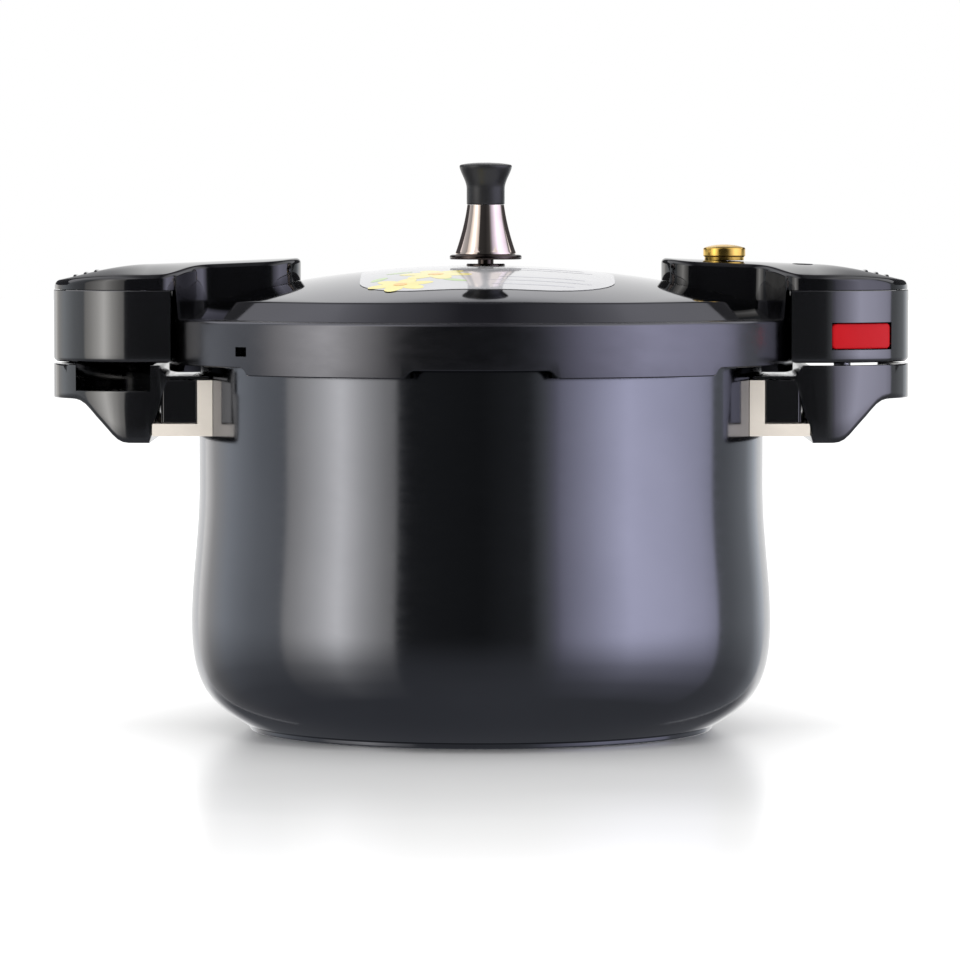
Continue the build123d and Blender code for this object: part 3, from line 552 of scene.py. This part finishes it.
def crown_rows(bm, inset, drop):
    """Rows from a cover's outline in to its spine."""
    loop = cover_loop(inset)
    rows = []
    for step in range(1, 11):
        inner = [tuple(spine_point(x).lerp(Vector((x, y)), 1 - step / 10)) for x, y in loop]
        rows.append(put(bm, inner, lambda x, y: crown_height(x, y) - drop))
    return rows


def capsule(bm, points, radius):
    """A rounded bar along a line of points, pointed at both ends."""
    rows = []
    for k, spot in enumerate(points):
        end = abs(2 * k / (len(points) - 1) - 1)
        size = radius * sqrt(max(0.02, 1 - end ** 6))
        rows.append([bm.verts.new((spot[0] + size * cos(a), spot[1], spot[2] + size * sin(a)))
                     for a in (2 * pi * i / 12 for i in range(12))])
    bridge(bm, rows)
    bm.faces.new(rows[0])
    bm.faces.new(rows[-1])


def add_pointer(bm):
    """Low oval pointer moulded on the cover with the lock."""
    rows = []
    for size, lift in ((1.0, -0.4), (1.0, 0.05), (0.86, 0.25), (0.5, 0.32), (0.12, 0.34)):
        loop = oval(152, -8, 10 * size, 4.8 * size, 0, 32)
        rows.append(put(bm, loop, lambda x, y: crown_height(x, y) + lift))
    bridge(bm, rows)
    bm.faces.new(rows[0])
    bm.faces.new(rows[-1])


def make_cover(side, material):
    """Glossy cover: rounded edge, hollow underneath, three grip ribs near its outer end."""
    edge = 2.4
    bm = bmesh.new()
    inner = [put(bm, cover_loop(COVER_GAP + SHELL), cover_foot),
             put(bm, cover_loop(COVER_GAP + SHELL), lambda x, y: crown_height(x, y) - SHELL)]
    inner += crown_rows(bm, COVER_GAP + SHELL, SHELL)
    outer = [put(bm, cover_loop(COVER_GAP), cover_foot)]
    for i in range(9):
        turn = radians(11.25 * i)
        drop = edge * (1 - sin(turn))
        loop = cover_loop(COVER_GAP + edge * (1 - cos(turn)))
        outer.append(put(bm, loop, lambda x, y: max(crown_height(x, y) - drop, cover_foot(x, y) + 0.1)))
    outer += crown_rows(bm, COVER_GAP + edge, 0)
    bridge(bm, list(reversed(inner)) + outer)
    bmesh.ops.remove_doubles(bm, verts=bm.verts, dist=0.004)
    for x in (182, 187, 192):
        length = 11.5 - 0.25 * (x - 182)
        spots = [length * (k / 8 - 1) for k in range(17)]
        capsule(bm, [(x, y, crown_height(x, y) - 0.45) for y in spots], 1.1)
    if side == "right":
        add_pointer(bm)
    cover = side_piece(bm, "handle_cover", side, material, "lid")
    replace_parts(cover, f"lid_handle_cover_{side}")


def side_piece(bm, name, side, material, body):
    """Finishes a handle piece; the left one is turned half a turn."""
    if side == "left":
        bmesh.ops.rotate(bm, verts=bm.verts, cent=(0, 0, 0), matrix=Matrix.Rotation(pi, 3, "Z"))
    return new_object(f"{name}_{side}", bm, material, body)


def on_circle(radius, across, depth=0.0):
    """The point where a line along the push direction meets a circle about the wing's centre."""
    start = BUTTON_SPOT + ACROSS * across - Vector((WING_CX, 0))
    along = start.dot(PUSH)
    run = -along - sqrt(along * along - start.length_squared + radius * radius)
    return BUTTON_SPOT + ACROSS * across + PUSH * (run + depth)


def beside_skirt(y, inset):
    """X of a housing's inner wall, which follows the skirt."""
    return max(HOUSING_X + inset, sqrt((SKIRT_R + 0.3 + inset) ** 2 - y * y))


def housing_loop(inset):
    """Closed D-shaped outline of a housing, and the columns that belong to the button's window."""
    radius = WING_R - inset
    edges = []
    for across in (BUTTON_SHIFT + BUTTON_WIDTH / 2 + 0.4, BUTTON_SHIFT - BUTTON_WIDTH / 2 - 0.4):
        spot = on_circle(radius, across)
        edges.append(degrees(atan2(spot.y, spot.x - WING_CX)))
    stops = [90.0, edges[0], edges[1], -90.0]
    steps = (36, 14, 8)
    loop = [(beside_skirt(radius, inset), radius)]
    window = []
    for start, end, count in zip(stops, stops[1:], steps):
        for i in range(count):
            turn = radians(start + (end - start) * i / count)
            if count == 14:
                window.append(len(loop))
            loop.append((WING_CX + radius * cos(turn), radius * sin(turn)))
    window.append(window[-1] + 1)
    loop.append((WING_CX, -radius))
    for i in range(33):
        y = radius * (i / 16 - 1)
        loop.append((beside_skirt(y, inset), y))
    return loop[:-1], window


def make_housing(side, material):
    """Box under a cover: thick walls, rounded bottom edge and, on the right, the button's window."""
    bm = bmesh.new()
    low, high = BUTTON_LOW - 0.4, BUTTON_TOP + 0.4
    outer = []
    for i in range(6):
        turn = radians(18 * i)
        loop = housing_loop(2 * (1 - sin(turn)))[0]
        outer.append(put(bm, loop, HOUSING_Z + 2 * (1 - cos(turn))))
    full, window = housing_loop(0)
    outer += [put(bm, full, z) for z in (low, high, SEAM_Z - 0.4)]
    top_loop = housing_loop(0.3)[0]
    thin = housing_loop(SHELL)[0]
    outer.append(put(bm, top_loop, SEAM_Z - 0.1))
    inner = [put(bm, thin, z) for z in (SEAM_Z - 0.1, high, low, HOUSING_Z + 2.6)]
    bridge(bm, outer + inner)
    bm.faces.new(outer[0])
    bm.faces.new(inner[-1])
    if side == "right":
        out_low, out_high = outer[6], outer[7]
        in_high, in_low = inner[1], inner[2]
        gone = []
        for a in window[:-1]:
            for lower, upper in ((out_low, out_high), (in_low, in_high)):
                corners = {lower[a], lower[a + 1], upper[a], upper[a + 1]}
                gone += [f for f in lower[a].link_faces if set(f.verts) == corners]
        bmesh.ops.delete(bm, geom=gone, context="FACES_ONLY")
        for a in window[:-1]:
            bm.faces.new((out_low[a], out_low[a + 1], in_low[a + 1], in_low[a]))
            bm.faces.new((out_high[a], out_high[a + 1], in_high[a + 1], in_high[a]))
        for a in (window[0], window[-1]):
            bm.faces.new((out_low[a], out_high[a], in_high[a], in_low[a]))
    housing = side_piece(bm, "handle_housing", side, material, "lid")
    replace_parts(housing, f"lid_handle_base_{side}")


def make_bridge(side, material):
    """The moulding's tongue on the dome, hidden inside the cover."""
    bm = bmesh.new()
    for start, end, top in ((90, 126.8, 216.2), (126.8, 151, 205.8)):
        rows = []
        for step in range(13):
            x = start + (end - start) * step / 12
            wide = cover_half(x, TONGUE_INSET)
            spots = [(x, wide * (i / 6 - 1)) for i in range(13)]
            under = put(bm, spots, lambda x, y: lid_surface(hypot(x, y)) + 0.4)
            rows.append(under + put(bm, reversed(spots), top))
        bridge(bm, rows)
        bm.faces.new(rows[0])
        bm.faces.new(rows[-1])
    side_piece(bm, "handle_tongue", side, material, "lid")


def cover_half(x, inset):
    """Half the width of a cover's outline at x."""
    loop = [spot for spot in cover_loop(inset) if spot[1] >= 0]
    for (x0, y0), (x1, y1) in zip(loop, loop[1:]):
        if x0 <= x <= x1 and x1 > x0:
            return y0 + (y1 - y0) * (x - x0) / (x1 - x0)
    return loop[1][1]


def make_button(material):
    """Red push button with a curved face and rounded edges."""
    half_w, half_h = BUTTON_WIDTH / 2, (BUTTON_TOP - BUTTON_LOW) / 2
    middle_z = (BUTTON_TOP + BUTTON_LOW) / 2
    radius, corner, edge = WING_R - 0.5, 2.4, 0.9
    from_end = [0.0, 0.07, 0.26, 0.56, 0.9, 1.4, 1.9, 2.4, 5, 8, 11, 14]
    stations = [e - half_w for e in from_end] + [0.0] + [half_w - e for e in reversed(from_end)]
    quarter = [radians(22.5 * k) for k in range(5)]
    bm = bmesh.new()
    rows = []
    for across in stations:
        e = half_w - abs(across)
        h = half_h - (corner - sqrt(corner ** 2 - max(0.0, corner - e) ** 2))
        sink = edge - sqrt(edge ** 2 - max(0.0, edge - e) ** 2)
        section = [(9.0, -h), (4.0, -h)]
        section += [(sink + edge * (1 - sin(a)), edge * (1 - cos(a)) - h) for a in quarter]
        section += [(sink, (h - edge) * (k / 3 - 1)) for k in range(1, 6)]
        section += [(sink + edge * (1 - cos(a)), h - edge * (1 - sin(a))) for a in quarter]
        section += [(4.0, h), (9.0, h)]
        row = []
        for depth, z in section:
            spot = on_circle(radius, across + BUTTON_SHIFT, depth)
            if depth == 9.0:
                spot = BUTTON_SPOT + ACROSS * (across + BUTTON_SHIFT) + PUSH * 9
            row.append(bm.verts.new((spot.x, spot.y, middle_z + z)))
        rows.append(row)
    bridge(bm, rows)
    bm.faces.new(rows[0])
    bm.faces.new(rows[-1])
    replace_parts(new_object("red_button", bm, material, "lock_button"), "lock_button")


# ---------------------------------------------------------------- body handles

POCKET, OPENING = (153.5, 198.85), (154.2, 190.0)
GRIP_STATIONS = [146.1, 147.5, 149, 150.2, 153.3, 153.5, 154.1, 154.2, 154.8, 158, 161.5]
GRIP_STATIONS += [164.5 + 2.6 * i for i in range(10)]
GRIP_STATIONS += [190, 190.1, 192, 194, 195.7, 197.2, 198.3, 198.85, 199, 200.2, 201.2, 201.9, 202.3, 202.49]
ROOT_BLOCKS = [(136.0, 149.4, -44.8, 44.8, 146.3, 166.5), (132.6, 148.4, 42.4, 46.8, 146.5, 166.5),
               (132.6, 148.4, -46.8, -42.4, 146.5, 166.5), (127.0, 147.0, -44.8, -40.0, 166.7, 168.3),
               (127.0, 147.0, 40.0, 44.8, 166.7, 168.3), (134.6, 147.0, -40.2, 40.2, 166.7, 168.3)]


def grip_bottom(x):
    """Underside of a body handle: slanted inner face, flat wedge tip, then a sweep up to the tray."""
    if x <= 154.8:
        return 167.2 + (137 - 167.2) * (x - 146) / 8.8
    curve = [(154.8, 137), *bezier((164.5, 137), (170.5, 137), (172, 141), (178, 147), 12),
             *bezier((178, 147), (184, 153), (185.5, 157.2), (192, 157.2), 12), (203, 157.2)]
    for (x0, z0), (x1, z1) in zip(curve, curve[1:]):
        if x0 <= x <= x1 and x1 > x0:
            return z0 + (z1 - z0) * (x - x0) / (x1 - x0)
    return 157.2


def grip_section(x):
    """Closed section of a body handle at x, as (y, z), with its tray and the tray's open side."""
    pocket = POCKET[0] <= x <= POCKET[1]
    opening = OPENING[0] <= x <= OPENING[1]
    w = sqrt(max(0.0004, WING_R ** 2 - max(0.0, x - WING_CX) ** 2))
    wall_in = sqrt(max(0.0001, (WING_R - TRAY_WALL) ** 2 - max(0.0, x - WING_CX) ** 2))
    wall_in = min(wall_in, w * 0.96)
    low = grip_bottom(x)
    top = min(TRAY_TOP, 167.2 + (TRAY_TOP - 167.2) * (x - 146) / 4.2)
    r = min(2.8, (top - low) / 3, w / 3)
    t = min(0.8, (top - low) / 8, (w - wall_in) / 3)
    floor = TRAY_FLOOR if pocket else top
    half = [(0, low), (w * 0.5, low), (w - r, low)]
    quarter = [radians(22.5 * i) for i in range(1, 5)]
    half += [(w - r * (1 - sin(a)), low + r * (1 - cos(a))) for a in quarter]
    near = list(half)
    for points, rim in ((half, top), (near, TRAY_FLOOR + 0.7 if opening else top)):
        sink = t if pocket else 0
        points += [(w, rim - t), (w - t * 0.3, rim - t * 0.3), (w - t, rim), (wall_in + t, rim),
                   (wall_in + t * 0.3, rim - sink * 0.3), (wall_in, rim - sink),
                   (wall_in, floor), (wall_in * 0.5, floor)]
    return near + [(0, floor)] + [(-y, z) for y, z in reversed(half[1:])]


def box(bm, x0, x1, y0, y1, z0, z1):
    """A plain block between two corners."""
    spots = [bm.verts.new((x, y, z)) for x in (x0, x1) for y in (y0, y1) for z in (z0, z1)]
    for face in ((0, 1, 3, 2), (4, 5, 7, 6), (0, 1, 5, 4), (2, 3, 7, 6), (0, 2, 6, 4), (1, 3, 7, 5)):
        bm.faces.new([spots[i] for i in face])


def make_grip(side, material):
    """Body handle: tray, wedge and the root that sits in the bracket."""
    bm = bmesh.new()
    rows = [[bm.verts.new((x, y, z)) for y, z in grip_section(x)] for x in GRIP_STATIONS]
    bridge(bm, rows)
    bm.faces.new(rows[0])
    bm.faces.new(rows[-1])
    grip = side_piece(bm, "body_grip", side, material, "pot")
    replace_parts(grip, f"body_handle_{side}")
    bm = bmesh.new()
    for block in ROOT_BLOCKS:
        box(bm, *block)
    soften(side_piece(bm, "grip_root", side, material, "pot"), 0.5)


# ---------------------------------------------------------------- label

def film(name, loop, centre, low, high, material, steps):
    """A thin film on the dome, from its outline and a point inside it."""
    bm = bmesh.new()
    middle = Vector(centre)
    rows = []
    for lift, sizes in ((high, range(1, steps + 1)), (low, range(steps, 0, -1))):
        for k in sizes:
            spots = [middle.lerp(Vector(spot), k / steps) for spot in loop]
            rows.append([bm.verts.new((p.x, p.y, dome_height(p.length) + lift)) for p in spots])
    bridge(bm, rows)
    for row, lift in ((rows[0], high), (rows[-1], low)):
        tip = bm.verts.new((middle.x, middle.y, dome_height(middle.length) + lift))
        for a, b in zip(row, row[1:] + row[:1]):
            bm.faces.new((a, b, tip))
    return new_object(name, bm, material, "lid")


def oval(x, y, length, width, turn, points=28):
    """A closed oval outline, its long side turned by an angle in degrees."""
    c, s = cos(radians(turn)), sin(radians(turn))
    spots = [(length / 2 * cos(a), width / 2 * sin(a)) for a in (2 * pi * i / points for i in range(points))]
    return [(x + c * u - s * v, y + s * u + c * v) for u, v in spots]


def ink(name, dark, light):
    """Printed colour on the film, slightly uneven."""
    return moulded(name, dark, light, 0.10, 0.16, grain=0.02)


def make_label():
    """Pale film with two yellow flowers and plain grey bars in place of the print."""
    corners = [(-56, -100, 30), (62, -100, 38), (62, 4, 38), (-56, 4, 30)]
    outline = []
    sides = rounded(corners, 10, True)
    for (x0, y0), (x1, y1) in zip(sides, sides[1:] + sides[:1]):
        count = max(1, round(hypot(x1 - x0, y1 - y0) / 4))
        outline += [(x0 + (x1 - x0) * k / count, y0 + (y1 - y0) * k / count) for k in range(count)]
    sheet = film("label_sheet", outline, (3, -48), 0.10, 0.28, MATERIALS["label_film"], 14)
    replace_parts(sheet, "lid_label")
    yellow = ink("print_yellow", (0.72, 0.62, 0.13), (0.86, 0.78, 0.26))
    orange = ink("print_orange", (0.78, 0.40, 0.06), (0.85, 0.50, 0.10))
    green = ink("print_green", (0.34, 0.50, 0.20), (0.46, 0.62, 0.28))
    grey = ink("print_grey", (0.42, 0.42, 0.46), (0.50, 0.50, 0.54))
    flowers = (("a", -37, -84, 15, 10), ("b", -21, -58, 17, -14))
    for tag, x, y, size, start in flowers:
        for k in range(6):
            turn = start + 60 * k
            c, s = cos(radians(turn)), sin(radians(turn))
            spot = (x + size * 0.52 * c, y + size * 0.52 * s)
            petal = oval(*spot, size, size * 0.56, turn)
            film(f"petal_{tag}{k}", petal, spot, 0.29, 0.33 + 0.006 * k, yellow, 4)
        heart = oval(x, y, size * 0.42, size * 0.42, 0)
        film(f"flower_heart_{tag}", heart, (x, y), 0.38, 0.46, orange, 3)
    for k, (x, y, turn) in enumerate(((-47, -66, 60), (-12, -78, -35), (-38, -46, 20))):
        film(f"leaf_{k}", oval(x, y, 13, 5, turn), (x, y), 0.29, 0.34, green, 4)
    bars = ((24, -88, 38), (27, -78, 48), (28, -68, 40), (26, -40, 52), (30, -30, 36))
    for k, (x, y, length) in enumerate(bars):
        bar = [(x - length / 2 + length * i / 12, y - 1.1) for i in range(13)]
        bar += [(x + length / 2 - length * i / 12, y + 1.1) for i in range(13)]
        film(f"print_bar_{k}", bar, (x, y), 0.29, 0.34, grey, 3)


# ---------------------------------------------------------------- weight and steam valve

VENT_X, BORE_R = 2.2, 4.7
WEIGHT_R, WEIGHT_LOW, CAP_LOW, CAP_TOP = 17.1, 222.3, 248.2, 268.09
VALVE_X, KNOB_R, KNOB_LOW, KNOB_TOP = 115.3, 10.0, 222.3, 229.4


def make_spun(name, outline, centre, body, slot, node):
    """A turned piece that replaces one CAD node."""
    bm = bmesh.new()
    lathe(bm, outline, 96, (centre, 0))
    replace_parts(new_object(name, bm, MATERIALS[slot], body), node)


def make_weight():
    """Pressure weight: dark foot ring, mirror-bright flared bell and a waisted black grip."""
    low = WEIGHT_LOW
    foot = low + 2.3
    ring = rounded([(BORE_R, low, 0), (WEIGHT_R, low, 0.6), (WEIGHT_R, low + 1.9, 0.9), (15.8, foot, 0.3),
                    (BORE_R, foot, 0)], 5)
    make_spun("weight_foot", ring, VENT_X, "pressure_weight", "weight_dark", "weight_flange")
    curve = bezier((14.4, foot + 0.8), (13.2, foot + 4.0), (9.9, 238.5), (8.8, CAP_LOW - 0.1), 24)
    bell = [(BORE_R, CAP_LOW - 0.1), (BORE_R, foot + 0.05), (14.0, foot + 0.05), (14.4, foot + 0.3)] + curve
    make_spun("weight_body", bell, VENT_X, "pressure_weight", "weight_bronze", "weight_bell")
    waist = CAP_LOW + 7.4
    socket = CAP_LOW + 3.9
    cap = rounded([(0, socket, 0), (4.6, socket, 0), (4.6, CAP_LOW, 0), (9.0, CAP_LOW, 0.6),
                   (9.0, waist, 0)], 4)
    cap += bezier((9.0, waist), (9.0, CAP_LOW + 11), (11.4, CAP_LOW + 14), (12.35, CAP_TOP - 2.4), 12)[1:]
    cap += rounded([(12.35, CAP_TOP - 2.4, 0), (12.5, CAP_TOP - 1.2, 0.9), (11.0, CAP_TOP - 0.8, 0)], 5)[1:]
    cap += bezier((11.0, CAP_TOP - 0.8), (7.5, CAP_TOP - 0.15), (3.5, CAP_TOP), (0, CAP_TOP), 8)[1:]
    make_spun("weight_grip", cap, VENT_X, "pressure_weight", "weight_cap_black", "weight_cap")


def make_knob():
    """Gold knob of the steam valve, with a stepped foot and a domed top."""
    foot, low, top = KNOB_LOW - 0.45, KNOB_LOW, KNOB_TOP
    knob = rounded([(0, foot, 0), (9.3, foot, 0.2), (9.4, low + 1.2, 0.3), (KNOB_R, low + 1.7, 0.5),
                    (KNOB_R, top - 1.6, 1.0), (8.2, top - 1.1, 0)], 5)
    knob += bezier((8.2, top - 1.1), (6.0, top - 0.4), (3.0, top), (0, top), 8)[1:]
    make_spun("valve_knob_turned", knob, VALVE_X, "steam_valve", "gold_anodised", "valve_knob")


# ---------------------------------------------------------------- studio

CAMERA_PLACE = (-0.0005, -2.600, 0.247)
CAMERA_PITCH = 2.85
LENS = 205.5
SENSOR = 36.0
# Light of the reflection cards, as (place, level) or (angle in degrees from the front, level, tint).
TOP_SHADE = [(0.10, (0.075, 0.075, 0.085)), (0.50, (0.27, 0.27, 0.29)), (0.75, (0.52, 0.52, 0.55)),
             (1.0, (0.90, 0.90, 0.94))]
BACK_SHADE = [(0.78, 1.0), (0.90, (0.95, 0.95, 0.96)), (0.97, (0.70, 0.70, 0.71)), (1.0, (0.45, 0.45, 0.46))]
LOW_SHADE = [(0.45, 1.0), (0.70, (0.40, 0.40, 0.41)), (1.0, (0.114, 0.118, 0.13))]
SIDE_SHADE = [(0.22, 1.0), (0.30, (0.35, 0.35, 0.36)), (0.40, (0.06, 0.06, 0.065))]
WARM, PLAIN, COOL = (1.02, 1.0, 0.97), (0.95, 1.0, 1.06), (0.97, 0.96, 1.22)
CARD_STRENGTH = 2.2
CARD_LOW, CARD_TOP = -3.0, 3.0
CARD_FADE = [(-3.0, 0.0), (-1.5, 0.08), (-0.75, 0.28), (-0.38, 0.65), (-0.12, 1.0), (3.0, 1.0)]
TABLE_GLOW = (0.052, 0.054, 0.060)
SOFT_BOXES = [(-150, 0.62, WARM), (-136, 0.32, WARM), (-121, 0.30, PLAIN), (-100, 0.19, PLAIN),
              (-84.5, 0.15, PLAIN), (-82.5, 0.30, WARM), (-76, 0.40, WARM), (-66, 0.62, WARM),
              (-57, 0.90, WARM), (-47, 0.52, WARM), (-38, 0.30, WARM), (-33.6, 0.24, WARM),
              (-32.4, 0.035, PLAIN), (-28, 0.017, PLAIN), (0, 0.012, PLAIN), (19, 0.025, PLAIN),
              (25, 0.09, PLAIN), (29.5, 0.15, COOL), (31, 0.21, COOL), (43, 0.39, COOL), (60, 0.68, COOL),
              (80, 0.59, COOL), (97, 0.47, COOL), (105, 0.36, COOL), (107, 0.115, PLAIN),
              (115, 0.125, PLAIN), (134, 0.19, PLAIN), (150, 0.45, PLAIN)]


def make_camera():
    """Long lens in front of the object, tipped slightly down."""
    data = bpy.data.cameras.new("camera")
    data.lens = LENS
    data.sensor_width = SENSOR
    data.clip_end = 60
    camera = bpy.data.objects.new("camera", data)
    camera.location = CAMERA_PLACE
    camera.rotation_euler = (radians(90 - CAMERA_PITCH), 0, 0)
    SCENE.collection.objects.link(camera)
    SCENE.camera = camera


def graded_emission():
    """Light of the soft boxes: stripes by the angle round the object, fading towards the table."""
    s = Shader("soft_boxes")
    split = s.add("ShaderNodeSeparateXYZ")
    s.link(s.place, split.inputs[0])
    back = s.add("ShaderNodeMath", operation="MULTIPLY")
    back.inputs[1].default_value = -1.0
    s.link(split.outputs[1], back.inputs[0])
    angle = s.add("ShaderNodeMath", operation="ARCTAN2")
    s.link(split.outputs[0], angle.inputs[0])
    s.link(back.outputs[0], angle.inputs[1])
    stripes = s.ramp(s.share(angle.outputs[0], -pi, pi),
                     [((degree + 180) / 360, (level * r, level * g, level * b))
                      for degree, level, (r, g, b) in SOFT_BOXES])
    span = CARD_TOP - CARD_LOW
    fade = s.ramp(s.share(split.outputs[2], CARD_LOW, CARD_TOP),
                  [((height - CARD_LOW) / span, level) for height, level in CARD_FADE])
    mixed = s.add("ShaderNodeMix", data_type="RGBA")
    mixed.inputs["A"].default_value = (*TABLE_GLOW, 1)
    s.link(fade, mixed.inputs["Factor"])
    s.link(stripes, mixed.inputs["B"])
    glow = s.add("ShaderNodeEmission")
    glow.inputs["Strength"].default_value = CARD_STRENGTH
    s.link(mixed.outputs["Result"], glow.inputs["Color"])
    s.link(glow.outputs[0], s.tree.nodes["Material Output"].inputs["Surface"])
    s.tree.nodes.remove(s.bsdf)
    return s.material


def shade_emission(name, axis, stops):
    """Dark card, with its light graded along X (either way from the middle) or up Z."""
    s = Shader(name)
    split = s.add("ShaderNodeSeparateXYZ")
    s.link(s.place, split.inputs[0])
    along = s.add("ShaderNodeMath", operation="ABSOLUTE")
    s.link(split.outputs[axis], along.inputs[0])
    s.set(Base_Color=(0, 0, 0, 1), Emission_Strength=1.0, Specular_IOR_Level=0.0)
    s.link(s.ramp(along.outputs[0], stops), s.bsdf.inputs["Emission Color"])
    return s.material


def stage_card(name, bm, material):
    """A light card that only reflections see."""
    mesh = bpy.data.meshes.new(name)
    bm.to_mesh(mesh)
    bm.free()
    mesh.materials.append(material)
    card = bpy.data.objects.new(name, mesh)
    SCENE.collection.objects.link(card)
    card.visible_camera = False
    card.visible_diffuse = False
    card.visible_shadow = False


def curved_card(name, radius, reach, low, high, material):
    """An upright curved card round the object, reaching an angle in degrees either way from the front."""
    bm = bmesh.new()
    turns = [radians(reach * (i / 30 - 1)) for i in range(61)]
    spots = [(radius * sin(turn), -radius * cos(turn)) for turn in turns]
    bridge(bm, [put(bm, spots, low), put(bm, spots, high)], closed=False)
    stage_card(name, bm, material)


def upright_card(name, across, y, rise, material):
    """A flat upright card behind the object."""
    bm = bmesh.new()
    bridge(bm, [put(bm, [(x, y) for x in across], z) for z in rise], closed=False)
    stage_card(name, bm, material)


def make_top_light():
    """Soft light overhead, which neither the camera nor reflections see."""
    place, target = Vector((0, -0.2, 2.6)), Vector((0, 0, 0.2))
    data = bpy.data.lights.new("top_light", "AREA")
    data.shape = "RECTANGLE"
    data.size = 1.6
    data.size_y = 1.6
    data.energy = 22
    light = bpy.data.objects.new("top_light", data)
    light.location = place
    light.rotation_euler = (target - place).to_track_quat("-Z", "Y").to_euler()
    light.visible_camera = False
    light.visible_glossy = False
    SCENE.collection.objects.link(light)


def make_floor():
    """White table: a mirror that fades with distance, lifted to white away from the pot's front."""
    bm = bmesh.new()
    bmesh.ops.create_grid(bm, x_segments=2, y_segments=2, size=12)
    mesh = bpy.data.meshes.new("floor")
    bm.to_mesh(mesh)
    bm.free()
    floor = bpy.data.objects.new("floor", mesh)
    SCENE.collection.objects.link(floor)
    floor.visible_glossy = False
    s = Shader("floor_white")
    s.set(Base_Color=(0.93, 0.93, 0.93, 1), IOR=1.45)
    cloud = s.noise(s.place, 3.0)
    s.link(s.between(cloud, 0.16, 0.20), s.bsdf.inputs["Roughness"])
    away = s.add("ShaderNodeVectorMath", operation="LENGTH")
    s.link(s.place, away.inputs[0])
    shine = [(0.12, (0.30, 0.30, 0.31)), (0.24, 0.17), (0.40, 0.05), (0.62, 0.0)]
    s.link(s.ramp(away.outputs["Value"], shine), s.bsdf.inputs["Specular IOR Level"])
    s.set(Emission_Color=(1, 1, 1, 1))
    split = s.add("ShaderNodeSeparateXYZ")
    s.link(s.place, split.inputs[0])
    across = s.add("ShaderNodeMath", operation="ABSOLUTE")
    s.link(split.outputs["X"], across.inputs[0])
    # Painted light: the table glows more away from the pot and beside it, washing out the pot's shadow there.
    lift = s.add("ShaderNodeMath", operation="MAXIMUM")
    s.link(s.ramp(away.outputs["Value"], [(0.29, 0.0), (0.40, 0.05), (0.95, 0.30)]), lift.inputs[0])
    s.link(s.ramp(across.outputs[0], [(0.12, 0.0), (0.19, 0.22)]), lift.inputs[1])
    s.link(lift.outputs[0], s.bsdf.inputs["Emission Strength"])
    mesh.materials.append(s.material)


def make_studio():
    """White room for the camera, with dark and bright cards that only the reflections see."""
    SCENE.view_settings.view_transform = "Standard"
    world = bpy.data.worlds.new("studio")
    world.use_nodes = True
    world.node_tree.nodes["Background"].inputs["Color"].default_value = (1, 1, 1, 1)
    world.node_tree.nodes["Background"].inputs["Strength"].default_value = 1.0
    SCENE.world = world

    make_floor()
    boxes = graded_emission()
    curved_card("soft_box_ring", 3.0, 150, CARD_LOW, CARD_TOP, boxes)
    bm = bmesh.new()
    bmesh.ops.create_circle(bm, cap_ends=True, segments=64, radius=3.4)
    bmesh.ops.translate(bm, verts=bm.verts, vec=(0, 0, CARD_LOW))
    stage_card("table_glow", bm, boxes)
    bm = bmesh.new()
    bmesh.ops.create_grid(bm, x_segments=2, y_segments=2, size=1)
    bmesh.ops.scale(bm, vec=(2.2, 1.7, 1), verts=bm.verts)
    bmesh.ops.translate(bm, verts=bm.verts, vec=(0, -0.5, 2.2))
    top_shade = shade_emission("top_shade", "X", TOP_SHADE)
    stage_card("top_shade", bm, top_shade)
    back_shade = shade_emission("back_shade", "Z", BACK_SHADE)
    upright_card("back_shade", (-2.6, 2.6), 1.2, (0.78, 1.0), back_shade)
    upright_card("back_shade_high", (-2.6, 2.6), 1.2, (1.0, 2.2), top_shade)
    low_shade = shade_emission("low_shade", "Z", LOW_SHADE)
    upright_card("back_shade_low", (-1.27, 1.27), 2.2, (-3.0, -0.45), low_shade)
    side_shade = shade_emission("side_shade", "X", SIDE_SHADE)
    upright_card("side_shade_right", (0.22, 2.6), 1.19, (0.30, 1.0), side_shade)
    upright_card("side_shade_left", (-2.6, -0.22), 1.19, (0.30, 1.0), side_shade)
    make_top_light()


# ---------------------------------------------------------------- put together

make_camera()
MATERIALS = make_materials()
finish_nodes(MATERIALS)
make_pot(MATERIALS["anodised_dark"])
make_lid(MATERIALS["anodised_lid"], lid_gloss())
make_label()
for side in ("right", "left"):
    make_cover(side, MATERIALS["black_gloss"])
    make_housing(side, MATERIALS["black_moulding"])
    make_bridge(side, MATERIALS["black_moulding"])
    make_grip(side, MATERIALS["black_moulding"])
make_button(MATERIALS["button_red"])
make_weight()
make_knob()
make_studio()
